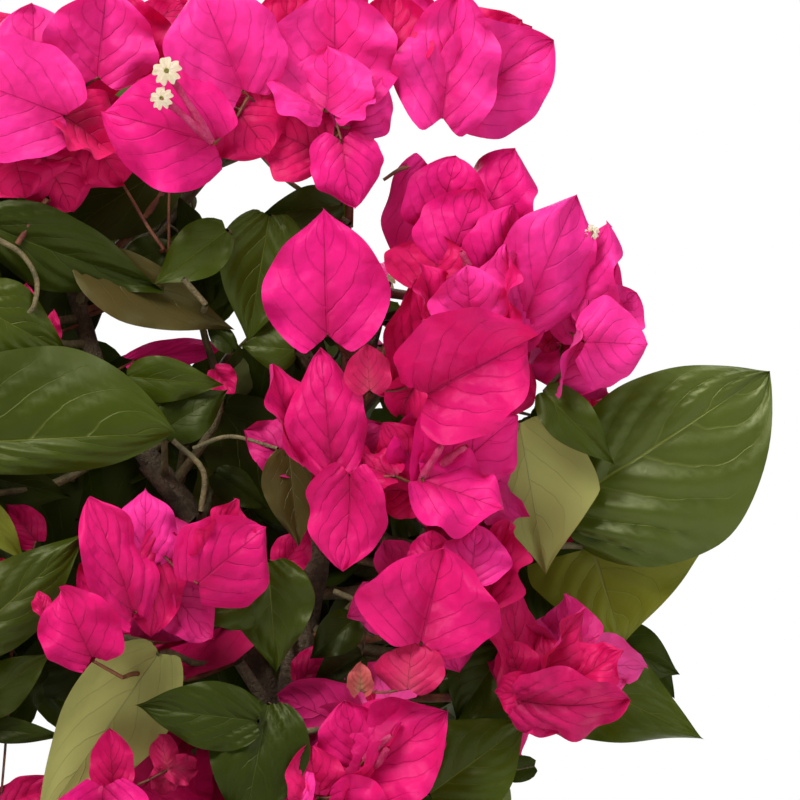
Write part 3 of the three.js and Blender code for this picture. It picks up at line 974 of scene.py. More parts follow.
bundle = Bundle([soilMaterial])
rings, around = soilShape["grid"]
turn = np.linspace(0, 2 * math.pi, around + 1)[None, :]
radius = np.linspace(0, soilShape["radius"], rings)[:, None]
points = np.stack([radius * np.cos(turn), radius * np.sin(turn), soilHeight(radius, turn)], axis=2)
uvs = np.stack([turn / fullTurn + 0 * radius, radius / 80 + 0 * turn], axis=2)
faces = gridFaces(rings, around + 1)[:, ::-1]
bundle.add(points.reshape(-1, 3) * mm, faces, uvs.reshape(-1, 2), soilMaterial)
dice = random.Random(soilShape["seed"])
cube = np.array([(x, y, z) for x in (-1, 1) for y in (-1, 1) for z in (-1, 1)], dtype=float)
sidesOfCube = np.array([(0, 1, 3, 2), (4, 6, 7, 5), (0, 4, 5, 1), (2, 3, 7, 6), (0, 2, 6, 4), (1, 5, 7, 3)])
for _ in range(soilShape["crumbs"]):
    spread = soilShape["crumbReach"] * math.sqrt(dice.uniform(0.05, 1))
    turnTo = dice.uniform(0, fullTurn)
    size = dice.uniform(*soilShape["crumb"]) * (0.6 if dice.random() < 0.7 else 1)
    level = soilHeight(spread, turnTo) + 0.1 * size
    stretch = np.array([[dice.uniform(0.3, 0.6) for _ in range(3)]])
    uneven = np.array([[dice.gauss(0, 0.12 * size) for _ in range(3)] for _ in range(8)])
    spot = (spread * math.cos(turnTo), spread * math.sin(turnTo), level)
    bundle.add((cube * size * stretch + uneven + spot) * mm, sidesOfCube, np.zeros((8, 2)), soilMaterial)
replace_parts(bundle.build("potting_soil"), "soil")
print("pot and soil made")


# Twigs, peduncles and small flowers gather in shared pieces.

twigs = Bundle([twigMaterial, stalkMaterial, barkMaterial])
florets = Bundle([tubeMaterial, petalMaterial, eyeMaterial])
forward = np.array([0.0, -1.0, 0.0])
held = [allStemPoints]    # points along all wood that is joined to the trunk, in millimetres
joints = {"made": 0, "failed": 0}
stalkRule = {
    "heldWithin": 0.3,      # a point this near to joined wood needs no stalk, millimetres
    "footWithin": 0.4,      # and a blade's own foot this near to its base needs none either
    "radius": 0.5,          # of a leaf's stalk
    "bractRadius": 0.45,    # of a placed bract's stalk
    "headRadius": 0.6,      # of the stalk to a ring of three bracts
    "skyShares": (0.05, 0.5, 1),  # how much of a stalk may cross open sky: as little as will do
    "woodTried": (400, 8),  # how many of the nearest points of wood, one in so many
    "stemTried": (240, 12),
    "asides": (0, -9, 9),   # ways round what stands before the stem
}


def addTwig(route, radii, sides, material, isHeld=True):
    addTube(twigs, route * mm, np.asarray(radii) * mm, sides, material)
    if isHeld:
        held.append(route)


def addStalk(points, radii, material=None, sides=6, steps=5, isHeld=True):
    route = smoothPath(points, steps)
    addTwig(route, np.linspace(radii[0], radii[1], len(route)), sides, material or stalkMaterial, isHeld)


def runBack(point, radius, material, depth=10):
    # A stalk from a head or leaf to the nearest stem, straight into the bush first, to hide it.
    point = np.asarray(point, dtype=float)
    order = np.argsort(np.linalg.norm(allStemPoints - point - (0, 10, -12), axis=1))
    most, every = stalkRule["stemTried"]
    for near in allStemPoints[order[:most:every]]:
        into = depth if near[1] >= point[1] else -depth
        inward = point + (near - point) * 0.12 + np.array([0, into, 0])
        for aside in stalkRule["asides"]:
            halfway = point * 0.5 + near * 0.5 + np.array([aside, 7 if into > 0 else 0, -4])
            corners = [point, inward, halfway, near]
            if fits(smoothPath(corners, 6) * mm, share=stalkRule["skyShares"][0]):
                addStalk(corners, (radius, radius * 1.9), material)
                return True
    return joinUp(point, radius, material)


def joinUp(point, radius, material=None):
    # A thin stalk from a point to the nearest wood that is itself joined to the trunk.
    point = np.asarray(point, dtype=float)
    wood = np.concatenate(held)
    gaps = np.linalg.norm(wood - point, axis=1)
    if gaps.min() < stalkRule["heldWithin"]:
        return True
    most, every = stalkRule["woodTried"]
    nearest = np.argsort(gaps)[:most:every]
    for share in stalkRule["skyShares"]:
        for index in nearest:
            near, gap = wood[index], gaps[index]
            middle = (point + near) / 2 + np.array([0, 0.05 * gap, -0.06 * gap])
            route = smoothPath([point, middle, near], 4)
            if fits(route * mm, share=share):
                radii = np.linspace(radius * 0.8, radius * 1.2, len(route))
                addTwig(route, radii, 4, material or twigMaterial)
                joints["made"] += 1
                return True
    joints["failed"] += 1
    return False


def joinBlade(bundle, base, radius, material=None):
    # Joins the blade added last, whose own foot can lie a little off its base.
    points = bundle.points[-1] / mm
    gaps = np.linalg.norm(points - base, axis=1)
    joinUp(base, radius, material)
    if gaps.min() > stalkRule["footWithin"]:
        route = np.array([points[gaps.argmin()], base])
        addTwig(route, (radius, radius), 4, material or twigMaterial, False)


floretForm = {
    "tube": 1.2,            # radius of the tube, millimetres
    "along": (0, 0.25, 0.55, 0.85, 1),    # places along the tube, and how thick it is there
    "thick": (0.9, 1.25, 0.8, 0.95, 0.5),
    "grid": (6, 61),        # rings and spokes of the star
    "eye": (0.85, 0.75, 0.35),
    "mouth": 15,            # how far a flower reaches out of its head
}


def addFloret(base, tip, openWidth, look=None):
    # A narrow tube that ends in a five-lobed star, or in a closed bud if openWidth is nought.
    base, tip = np.asarray(base, dtype=float), np.asarray(tip, dtype=float)
    way = unit(tip - base)
    path = smoothPath([base, base * 0.5 + tip * 0.5 + np.array([0, -0.5, 0.4]), tip], 6)
    swell = np.interp(np.linspace(0, 1, len(path)), floretForm["along"], floretForm["thick"])
    addTube(florets, path * mm, swell * floretForm["tube"] * mm, 8, tubeMaterial)
    if not openWidth:
        return
    if look is not None:
        way = unit(way * 0.35 + np.asarray(look))
    aside = unit(np.cross(way, (0.2, 0.4, 0.9)))
    other = np.cross(way, aside)
    rings, spokes = floretForm["grid"]
    turn = np.linspace(0, 2 * math.pi, spokes)[None, :]
    share = np.linspace(0, 1, rings)[:, None]
    lobes = 0.66 + 0.26 * np.abs(np.cos(2.5 * turn)) ** 0.6 - 0.08 * np.cos(10 * turn)
    reach = openWidth / 2 * share * (1 - (1 - lobes) * share ** 2)
    lift = openWidth * (0.10 * share - 0.16 * share ** 2 + 0.05 * np.cos(10 * turn) * share ** 2)
    points = (tip + (reach * np.cos(turn))[..., None] * aside + (reach * np.sin(turn))[..., None] * other
              + lift[..., None] * way)
    uvs = np.stack([share + 0 * turn, turn / fullTurn + 0 * share], axis=2).reshape(-1, 2)
    florets.add(points.reshape(-1, 3) * mm, gridFaces(rings, spokes), uvs, petalMaterial)
    eyePath = np.array([tip - way * 0.2, tip + way * 0.3, tip + way * 0.6])
    addTube(florets, eyePath * mm, np.array(floretForm["eye"]) * openWidth / 9 * mm, 8, eyeMaterial)


# Heads of bracts.

# name: (base x, z), (tip x, z), width, depth of the base, roll in degrees, tint. Millimetres.
# Apart from the plain pink and the young and bud colours, a row's tint is the pink with painted light or with
# painted shade.
placedHeads = {
    "bloom_top_left": [
        (-4, 564, -40, 578, 38, -30, 0, "Light"), (-4, 564, 12, 553, 34, -26, -40, "Deep"),
        (-13, 576, -14, 598, 34, -20, 0, "Light"), (5.4, 576, 8, 603, 34, -16, 0, "Light"),
        (-10, 552, -2, 536, 24, -18, 0, "Deep"), (-20, 555, -16, 540, 34, -14, 0, "Deep"),
        (2.4, 558, 13, 544.5, 26, -12, 0, "Deep")],
    "bloom_top_middle": [
        (49, 571.5, 36, 603, 36, -30, 0, "Light"),
        (41, 556, 8, 565, 37, -34, 0, "Pink", {"fold": 14, "curl": -34, "bend": -22}),
        (46, 567, 57, 553, 26, -28, 0, "Deep"), (43, 569, 47.4, 555, 22, -24, 0, "Deep"),
        (14.4, 574.5, 11, 603, 30, -14, 0, "Deep")],
    "bloom_top_centre": [
        (76, 570, 76, 603.6, 40, -16, 0, "Light"), (72, 565.5, 55.8, 577.5, 28, -26, 50, "Light"),
        (73, 566, 74.4, 585, 30, -28, -30, "Light"), (76, 565.5, 87, 576, 26, -26, -50, "Light"),
        (78, 557, 82, 537.5, 22, -30, 10, "Pink"), (80.4, 561, 90, 576, 20, -20, 0, "Light"),
        (71.4, 553.5, 55.8, 561, 26, -24, 0, "Deep"), (62, 562, 59, 547.5, 17, -20, 0, "Deep"),
        (92.4, 579, 94, 602, 26, -12, 0, "Deep"), (60, 574, 62, 605, 27, -6, 0, "Deep")],
    "bloom_top_right": [
        (108, 564, 113, 602, 32, -16, 0, "Light"), (112, 569, 141.5, 588, 35, -6, 0, "Light"),
        (116, 582, 132, 594, 24, 2, 0, "Deep"), (103, 579, 98, 603, 24, -2, 0, "Light")],
    "bloom_right_upper": [
        (105, 549, 100.5, 514, 27, -10, 10, "Light"), (118, 529, 130, 554.5, 32, -8, -20, "Pink"),
        (107.4, 532.5, 112, 552.6, 26, -12, 0, "Pink"), (110.4, 521.4, 118, 543, 28, -20, 0, "Pink"),
        (122.4, 517.5, 130, 538.5, 22, -18, 40, "Pink"), (104.4, 513, 107.4, 529.5, 26, -22, -30, "Deep")],
    "bloom_right_outer": [
        (132.3, 504.6, 148, 541, 30, -20, 0, "Light"), (144, 507, 157.5, 533, 26, -12, -30, "Light"),
        (130, 504, 127, 526.5, 20, -24, 50, "Light"), (143.4, 495, 152.4, 516, 24, -8, 0, "Deep"),
        (149, 507, 160.5, 521, 17, -2, 0, "Pink")],
    "bloom_right_tip": [
        (150.3, 497, 169, 496.5, 27, -25, 0, "Light"), (150.3, 497, 155.4, 515, 24, -14, 30, "Light"),
        (157, 504, 166, 512, 19, -6, 0, "Light"), (143.4, 484.5, 150.3, 510, 18, -16, 60, "Light"),
        (148, 495, 147, 481, 28, -8, 0, "Light")],
    "bloom_right_inner": [
        (104, 482, 134, 498, 38, -36, 0, "Rich"), (116.4, 502.5, 115, 519.6, 24, -32, 0, "Light"),
        (97, 481.5, 100, 516, 22, -20, 35, "Deep"), (107.4, 501, 101.4, 520.5, 20, -26, 30, "Rich"),
        (125.4, 501, 130, 523.5, 18, -26, -50, "Rich"), (100, 484.5, 94.8, 475.5, 14, -30, 0, "Deep"),
        (127, 478, 134, 491, 13, -12, 0, "Deep")],
    "bloom_single": [
        (74, 499, 72.7, 536.5, 38, -34, 0, "Pink",
         {"tipPower": (1.8, 0.86), "waver": 0.012, "curl": -26, "bend": -20, "fold": 10}),
        (86.4, 483, 85.8, 496.5, 14, -41, 0, "Young"), (88.8, 488.4, 91, 481, 9, -29, 0, "Young")],
    "bloom_centre": [
        (75.3, 461.4, 72, 494.4, 24, -40, 0, "Rich"), (67, 463.5, 57, 490.5, 21, -34, 25, "Rich"),
        (94, 457.5, 79, 463.5, 14, -36, 40, "Deep"), (79, 450, 70, 462, 17, -28, 20, "Deep"),
        (80.5, 458, 78.5, 429.5, 24, -42, 15, "Rich", {"fold": 14})],
    "bloom_centre_right": [
        (105, 454.5, 130.2, 475.5, 34, -34, 15, "Pink"),
        (102, 457, 126, 447.5, 27, -40, -25, "Pink", {"fold": 12, "curl": -30}),
        (105, 457.5, 104.4, 479.4, 26, -28, 0, "Pink"), (107.4, 459, 125.4, 478.5, 24, -26, 0, "Pink"),
        (103, 456, 90.3, 473.4, 18, -30, 0, "Deep"), (103, 453.6, 88, 453, 18, -28, 0, "Deep")],
    "bloom_large": [
        (101.7, 409, 108.3, 436.5, 42, -44, 0, "Rich"), (116.4, 427.5, 118, 442.5, 22, -38, 0, "Light"),
        (122.4, 420, 128, 444, 20, -30, -40, "Deep"), (130, 396, 128, 426, 20, -26, 30, "Deep"),
        (104.4, 432, 105, 441.6, 14, -36, 0, "Rich"), (97.8, 395.4, 99, 409.5, 21, -47, 0, "Young"),
        (83.7, 394.5, 83.9, 403, 8, -44, 0, "Bud")],
    "bloom_low_right": [
        (132, 391.5, 163, 392, 24, -40, 20, "Dusky", {"fold": 34, "curl": -50, "bend": -40}),
        (131, 391.5, 146, 384, 18, -36, -20, "Dusky", {"fold": 20, "curl": -60}),
        (136, 396, 149.5, 419, 15, -34, 50, "Deep", {"fold": 44, "curl": -30}),
        (145, 396, 161.4, 406, 18, -32, -30, "Deep", {"fold": 30, "curl": -50}),
        (134.4, 393, 123.3, 394, 14, -38, 0, "Deep"), (139, 390, 138, 410, 20, -24, 0, "Deep"),
        (131, 398, 127, 409, 14, -28, 0, "Deep")],
    "bloom_low_middle": [
        (76, 363, 109.5, 388.5, 34, -40, 0, "Rich"), (83.4, 372, 79, 391.5, 22, -36, 0, "Rich"),
        (80.4, 363, 95.4, 385.5, 14, -42, 60, "Rich"), (94, 376.5, 103, 390, 26, -32, 0, "Rich"),
        (71.4, 363, 68.4, 378.6, 18, -38, 0, "Deep"), (65.4, 361.5, 66, 375, 10, -42, 0, "Light"),
        (74.4, 360, 89.4, 348, 30, -38, 0, "Rich")],
    "bloom_left_group": [
        (17.4, 417.6, 4, 451.5, 24, -46, 20, "Rich"), (20.4, 432, 20.4, 453.6, 20, -38, 0, "Light"),
        (16, 416, 1, 432, 18, -42, 0, "Rich"), (25, 438, 22, 410.4, 18, -40, 0, "Deep"),
        (36, 426, 55.8, 442.5, 30, -46, 0, "Rich"), (37, 432, 47.4, 451, 16, -42, 40, "Deep"),
        (4.8, 405, -4.2, 424.5, 25, -50, 0, "Rich"), (-9, 417, -10.8, 424, 6, -46, 0, "Deep")],
    "bloom_low_left": [
        (10.8, 366, 9.6, 383, 14, -36, 0, "Deep"), (8.4, 366, 7.5, 343, 29, -42, 0, "Pink"),
        (-24, 353, -7, 367.5, 18, -20, 0, "Deep"), (-2, 350, -22, 362, 16, -18, 0, "Deep"),
        (27, 371, 24.3, 381.6, 9, -34, 0, "Young"), (27, 371, 35.4, 370.5, 10, -34, 0, "Young"),
        (27, 371, 24, 363, 9, -34, 0, "Young")],
}
# Bracts deep between the leaves, by the node that holds them, nearly all in the pink with painted shade.
placedInside = {
    "bloom_far_inner": [
        (-18, 500, -16, 515, 10, -14, 0, "Deep"), (-9, 496, -8, 507, 6, -10, 0, "Deep"),
        (-13, 438, -22, 449, 12, -16, 0, "Deep")],
    "bloom_far_face": [
        (-19, 422, -24, 433, 10, -24, 0, "Deep")],
    "bloom_centre": [
        (40, 489, 46, 482, 9, -4, 0, "Deep"), (16, 492, 43, 496.5, 9, 0, 0, "Pink"),
        (60, 430, 68, 441, 12, -10, 0, "Deep")],
    "bloom_large": [
        (66, 396, 75, 407, 12, -8, 0, "Deep")],
}
# Flowers: (base), (mouth), width of the star, or 0 for a closed one. Millimetres.
placedFlowers = [
    ((40, -42, 556), (27, -52, 576.5), 9.5), ((40, -42, 556), (25.5, -52, 568.5), 7.5),
    ((101, -36, 455), (108, -44, 467), 0), ((108, -36, 461), (115, -44, 466.5), 0),
    ((85, -41, 374), (93, -46, 381.6), 0), ((88, -40, 372), (92, -45, 378), 0),
    ((146, -16, 520), (152.5, -20, 530), 5), ((116, -28, 518), (113.5, -32, 524), 0),
]
headForm = {
    "alone": ("bloom_single", "bloom_low_left"),    # placed heads that nothing closes from behind
    "backers": 3,           # rings of three bracts behind a placed head
    "backerLength": (25, 31),
    "backerShare": 0.8,
    "triads": 6,            # rings in a head that isn't placed bract by bract
    "triadLength": (31, 37),
    "triadShares": (1, 0.78, 0.58),    # a bract that doesn't fit is made smaller
    "opens": 1.15,          # how far the outer rings lean from the head's own way
    "flowers": 3,
    "openFlowers": 0.6,     # share of the flowers that are open
    "star": 8.5,            # width of an open flower, millimetres
    "shootStar": 7.5,
    # the plain pink, and its copies with painted light and painted shade
    "tints": ("Pink", "Pink", "Light", "Deep"),
    "fine": (15, 10),       # rows and columns of a bract at the sides, behind, and on a shoot
    "coarse": (12, 9),
    "shoot": (13, 9),
    "seed": 71,
}


def triad(bundle, centre, outward, length, dice, tint, grid, front=None):
    # Three bracts round one point, spread like a cup that opens outward.
    outward = unit(outward)
    aside = unit(np.cross(outward, (0.3, 0.2, 0.93)))
    other = np.cross(outward, aside)
    start = dice.uniform(0, fullTurn)
    made = 0
    for k in range(3):
        turn = start + k * thirdTurn + dice.uniform(-0.25, 0.25)
        way = math.cos(turn) * aside + math.sin(turn) * other
        rise = math.radians(dice.uniform(20, 58))
        reach = length * dice.uniform(0.88, 1.08)
        base = centre + way * 1.6
        tip = centre + (way * math.cos(rise) + outward * math.sin(rise)) * reach
        width = reach * dice.uniform(0.78, 0.94)
        facing = outward * math.cos(rise) - way * math.sin(rise)
        # Most bracts take the given tint; the rest take the plain pink or its copy with painted light or
        # painted shade.
        name = "bract" + (tint if dice.random() < 0.7 else dice.choice(("Pink", "Light", "Deep")))
        for scale in headForm["triadShares"]:
            end = base + (tip - base) * scale
            if placeBlade(bundle, base * mm, end * mm, facing, width * scale * mm, bractForm, bracts[name],
                          dice, *grid, lambda points: fits(points, front)):
                made += 1
                break
    return made


def splitChanges(form, changes):
    # Sorts a row's own changes into those of the form and those of this one blade.
    shape = {key: value for key, value in changes.items() if key in ownShape}
    return {**form, **{key: value for key, value in changes.items() if key not in shape}}, shape


def endsOfRow(x0, z0, x1, z1, depth, roll, dice, tipDepth):
    # The base, the tip and the facing of a blade seen from the front.
    base = np.array([x0, depth, z0], dtype=float)
    tip = np.array([x1, depth + dice.uniform(*tipDepth), z1], dtype=float)
    along = unit(tip - base)
    facing = turnAbout(forward - along * np.dot(along, forward), along, math.radians(roll))
    return base, tip, facing


def placeHead(bundle, rows, dice):
    for x0, z0, x1, z1, width, depth, roll, tint, *changes in rows:
        form, shape = splitChanges(bractForm, changes[0] if changes else {})
        base, tip, facing = endsOfRow(x0, z0, x1, z1, depth, roll, dice, (-3, 5))
        grid = (18, 11) if width < 16 else (28, 17)
        placeBlade(bundle, base * mm, tip * mm, facing, width * mm, form, bracts["bract" + tint], dice, *grid,
                   **shape)
        joinBlade(bundle, base, stalkRule["bractRadius"], stalkMaterial)


def closeHead(bundle, middle, half, dice):
    # Rings of bracts in the pink with painted shade behind a placed head.
    made = 0
    for k in range(headForm["backers"]):
        turn = 2.4 * k + 0.5
        way = unit(np.array([math.cos(turn) * 0.8, 0.9, math.sin(turn) * 0.8]))
        spot = middle + np.array([0, half[1] * 0.15, 0]) + way * half * 0.2
        length = dice.uniform(*headForm["backerLength"]) * headForm["backerShare"]
        made += triad(bundle, spot, way, length, dice, "Deep", headForm["coarse"], middle[1] - 4)
        joinUp(spot, stalkRule["headRadius"], stalkMaterial)
    return made


def growHead(bundle, middle, half, dice):
    # A whole head: one ring of bracts along its own way, and the others leaning round it.
    outward = unit(np.array([middle[0], middle[1] * 1.6, (middle[2] - 400) * 0.8]) + 1e-3)
    across = unit(np.cross(outward, (0.1, 0.3, 0.95)))
    other = np.cross(outward, across)
    made = 0
    for k in range(headForm["triads"]):
        turn = k * goldenTurn + dice.uniform(-0.2, 0.2)
        lean = headForm["opens"] if k else 0.0
        way = unit(outward + lean * (math.cos(turn) * across + math.sin(turn) * other))
        spot = middle + way * half * 0.30
        length, tint = dice.uniform(*headForm["triadLength"]), dice.choice(headForm["tints"])
        made += triad(bundle, spot, way, length, dice, tint, headForm["fine"])
        joinUp(spot, stalkRule["headRadius"], stalkMaterial)
        if k < headForm["flowers"]:
            isOpen = dice.random() < headForm["openFlowers"]
            addFloret(spot, spot + way * floretForm["mouth"], headForm["star"] if isOpen else 0)
    return made


dice = random.Random(headForm["seed"])
made = 0
headBundles = {name: Bundle(list(bracts.values())) for name in bloomNodes}
for name, bundle in headBundles.items():
    middle, half = middleAndHalf(name)
    if name == "bloom_top_right":
        ownStalk = [(112, 4, 583), (96, 8, 589), (82, 9, 566), (80, 10, 532)]
        addStalk(ownStalk, (0.9, 1.4), isHeld=joinUp(ownStalk[-1], 1.4, stalkMaterial))
    elif name in placedHeads:
        runBack(np.array([middle[0], middle[1] + 4, middle[2] - half[2] * 0.3]), 0.9, stalkMaterial)
    else:
        runBack(middle, 1.0, stalkMaterial)
    if name in placedHeads:
        placeHead(bundle, placedHeads[name], dice)
        made += 0 if name in headForm["alone"] else closeHead(bundle, middle, half, dice)
    else:
        made += growHead(bundle, middle, half, dice)
    placeHead(bundle, placedInside.get(name, []), dice)
for base, mouth, width in placedFlowers:
    addFloret(base, mouth, width, look=forward)
    joinUp(base, 0.5, stalkMaterial)
print("heads of bracts made:", made)


# Leaves.

# Leaves at the front, by node: base, tip, width, depth, roll, tint and what is this leaf's own.
# Millimetres and degrees.
# Some of them take the green's copy with painted shade.
placedLeaves = {
    "leaves_right": [
        (143.4, 447.6, 206, 488.5, 56, -2, 0, "Glossy",
         {"fold": 10, "curl": -14, "bend": -16, "sides": (0.74, 1.25), "broadest": 0.44,
          "tipPower": (1.95, 0.94), "tipPull": 0.0, "pillow": 0.120}),
        (138.3, 482.4, 159.3, 460.8, 15, -14, 0, "Green", {"fold": 22, "curl": -20}),
        (131, 473, 139, 428, 40, -12, 180, "Pale",
         {"fold": 8, "curl": -10, "bend": -12, "sides": (0.60, 1.02), "broadest": 0.55,
          "tipPower": (1.15, 1.0), "pillow": 0.02}), (134.4, 475.5, 155.4, 450, 26, 4, 0, "Dark", {})],
    "leaves_right_low": [
        (153, 435.6, 162.6, 406, 52, 6, 0, "Olive",
         {"fold": 6, "curl": -16, "bend": -14, "sides": (1.45, 0.8), "broadest": 0.2, "baseRound": 0.5,
          "tipPower": (1.25, 0.92)}),
        (139, 401, 186.6, 378, 38, 8, 0, "Green",
         {"fold": 10, "curl": -14, "sides": (0.86, 0.86), "tipPower": (1.35, 1.0)}),
        (157, 408, 180, 397, 18, 14, 0, "Dark", {}), (131.4, 432, 146.4, 408, 22, 16, 0, "Dark", {})],
    "leaves_left_large": [
        (-47, 466.5, 28.5, 470.4, 38, -30, 0, "Green",
         {"fold": 12, "curl": -26, "bend": -18, "sides": (1.45, 0.55), "pillow": 0.090, "broadest": 0.52,
          "tipPower": (2.6, 0.8)})],
    "leaves_upper_left": [
        (-27.6, 532.5, 25, 513, 26, -14, 20, "Dark", {}), (43.8, 530.4, 22, 514.5, 17, -18, 0, "Green", {}),
        (0.9, 522.6, 46, 501, 20, -12, 0, "Bronze", {"sides": (0.8, 1.25)}),
        (-33.6, 510, -3.6, 493.5, 24, -18, 0, "Green", {})],
    "leaves_upper_middle": [
        (56.4, 535, 50, 497, 26, -10, 0, "Green", {"fold": 16}),
        (77.4, 538.5, 54, 535.5, 14, -2, 0, "Dark", {}), (64, 495, 48, 496.5, 14, -14, 0, "Green", {}),
        (45.5, 495, 37, 504.5, 7, -8, 0, "Dark", {})],
    "leaves_middle": [
        (14.4, 487, 43, 484.5, 14, -16, 0, "Green", {}), (25, 471, 43.8, 483, 16, -16, 0, "Dark", {}),
        (40, 458, 56, 447, 11, 2, 0, "Dark", {}), (16, 483, 31, 473, 9, 0, 0, "Dark", {})],
    "leaves_low_left": [
        (-33.6, 408, 3, 441, 24, -34, 0, "Green", {"fold": 14}),
        (24, 405, -13, 352, 31, -33, 180, "Pale", {"fold": 8, "curl": -12, "pillow": 0.03}),
        (-32, 388.5, -8, 405, 16, -28, 0, "Green", {}), (-30, 450, -16, 432, 10, -24, 0, "Olive", {}),
        (-30, 383, -4, 380, 8, -20, 0, "Dark", {}), (-32, 458, -3, 451, 17, -8, 0, "Dark", {})],
    "leaves_low_middle": [
        (53.4, 385.5, 17.4, 390, 21, -43, 0, "Dark", {"fold": 18}),
        (56.4, 390, 48.9, 351, 30, -37, 0, "Dark", {"fold": 10}),
        (56.4, 432, 58.8, 399.6, 26, -30, 0, "Green", {}), (55, 420, 33.9, 416.4, 14, -30, 0, "Green", {}),
        (62.4, 465, 65.4, 436.5, 18, -26, 0, "Bronze", {"fold": 30})],
    "leaves_low_right": [
        (104.4, 363, 133.5, 384.6, 30, -20, 0, "Green", {"fold": 16}),
        (125.4, 405, 112, 384, 24, -14, 0, "Dark", {})],
}
foliage = {
    "shoots": 9,            # shoots in each mass
    "reach": (0.15, 0.78),  # where a shoot starts behind the middle and ends before it, as shares of the mass
    "shootRadii": (1.7, 0.8),
    "leavesPer": 7,         # leaves on each shoot
    "stalk": 7,             # a leaf's stalk, millimetres
    "stalkRadii": (0.75, 0.65, 0.6, 0.55, 0.5),
    "length": (36, 62),     # a leaf, millimetres
    "shortest": 18,
    "broad": (0.52, 0.68),
    "shares": (1, 0.75, 0.55),    # a leaf that doesn't fit is made smaller
    "grid": (13, 9),
    # the first tint is the green's copy with painted shade
    "tints": (("Dark", "Green", "Olive", "Bronze"), (4, 6, 1, 0.5)),
    "blooming": 0.24,       # share of the shoots that end in a small head, away from the placed part
    "headLength": (21, 27),
    "seed": 113,
}


def placeLeaf(bundle, base, tip, facing, width, tint, dice, grid, form=leafForm, **shape):
    return placeBlade(bundle, base * mm, tip * mm, facing, width * mm, form, leaves["leaf" + tint],
                      dice, *grid, **shape)


def endShoot(end, outward, dice):
    # A small head at the end of a shoot, in the piece of the nearest head.
    near = min(headBundles, key=lambda node: np.linalg.norm(nodeMiddles[node] - end))
    for ring in range(2):
        spot = end + outward * (3 + 5 * ring)
        length = dice.uniform(*foliage["headLength"])
        triad(headBundles[near], spot, outward, length, dice, "Pink", headForm["shoot"])
        joinUp(spot, stalkRule["headRadius"], stalkMaterial)
    addFloret(end + outward * 3, end + outward * floretForm["mouth"], headForm["shootStar"])


def growLeaf(bundle, spot, way, across, middle, half, inside, shows, dice):
    # One leaf on its stalk from a spot on a shoot. Says whether there was room for it.
    toward = unit(way * 0.55 + across * 0.85 + np.array([0, 0, dice.uniform(-0.35, 0.25)]))
    length = dice.uniform(*foliage["length"])
    base = spot + toward * foliage["stalk"]
    tip = base + toward * length
    # A leaf that would stand far out of its mass is shorter.
    outside = np.max(np.abs((tip - middle) / (half * 1.04 + 5)))
    if outside > 1:
        tip = base + (tip - base) / outside ** 1.5
        length = np.linalg.norm(tip - base)
    if length < foliage["shortest"]:
        return False
    width = length * dice.uniform(*foliage["broad"])
    sway = np.array([dice.uniform(-0.3, 0.3) for _ in range(3)])
    facing = unit(way * 0.7 + np.array([0, -0.25 if inside else 0, 0.75]) + sway)
    names, odds = foliage["tints"]
    tint = dice.choices(names, odds)[0]
    if not any(placeLeaf(bundle, base, base + (tip - base) * scale, facing, width * scale, tint, dice,
                         foliage["grid"], test=lambda points: fits(points, window["front"]))
               for scale in foliage["shares"]):
        return False
    petiole = smoothPath([spot, (spot + base) / 2 - (0, 0, 0.8), base], 2)
    if shows and fits(petiole * mm, window["front"], 0):
        addTwig(petiole, foliage["stalkRadii"], 5, twigMaterial, False)
    else:
        joinUp(base, stalkRule["radius"])
    return True


def growMass(bundle, name, dice):
    # Shoots from the middle of a mass outward, each with its leaves.
    middle, half = middleAndHalf(name)
    inside = name in placedLeaves or "core" in name
    sideways = middle * (1, 1, 0)
    back, ahead = foliage["reach"]
    grown = 0
    runBack(middle, 1.2, twigMaterial, 3)
    for k in range(foliage["shoots"]):
        height = 1 - 2 * (k + 0.5) / foliage["shoots"]
        turn = k * goldenTurn + dice.uniform(-0.3, 0.3)
        flat = math.sqrt(1 - height * height)
        way = np.array([flat * math.cos(turn), flat * math.sin(turn), height])
        start = middle - way * half * back
        end = middle + way * half * ahead
        bow = (start + end) / 2 + np.array([0, 0, dice.uniform(-4, 6)])
        route = smoothPath([start, bow, end], 8)
        shows = fits(route * mm, window["front"], 0)
        if shows:
            radii = np.linspace(*foliage["shootRadii"], len(route))
            addTwig(route, radii, 6, twigMaterial, joinUp(start, 1.1))
        isSeen = inWindow(end) and end[1] < 40
        if not isSeen and name[7:11] != "core" and np.dot(end - middle, sideways) > 0 \
                and dice.random() < foliage["blooming"]:
            endShoot(end, unit(way + unit(sideways) * 0.6 + np.array([0, 0, 0.4])), dice)
        for j in range(foliage["leavesPer"]):
            spot = route[int((j + 1.4) / (foliage["leavesPer"] + 0.6) * (len(route) - 1))]
            across = unit(np.cross(way, (0.2, 0.3, 0.9)) * math.cos(j * 1.3)
                          + np.cross(way, (0.9, 0.1, 0.2)) * math.sin(j * 1.3)) * (1 if j % 2 else -1)
            grown += growLeaf(bundle, spot, way, across, middle, half, inside, shows, dice)
    return grown


dice = random.Random(foliage["seed"])
grown = 0
leafBundles = {name: Bundle(list(leaves.values())) for name in leafNodes}
for name, bundle in leafBundles.items():
    for x0, z0, x1, z1, width, depth, roll, tint, changes in placedLeaves.get(name, []):
        form, shape = splitChanges(leafForm, changes)
        base, tip, facing = endsOfRow(x0, z0, x1, z1, depth, roll, dice, (-2, 5))
        grid = (34, 21) if width > 20 else (20, 13)
        placeLeaf(bundle, base, tip, facing, width, tint, dice, grid, form=form, **shape)
        runBack(base, 0.8, twigMaterial)
    grown += growMass(bundle, name, dice)
print("leaves made:", grown)


# Shaded leaves behind, wherever the crown is closed but nothing covers it yet.

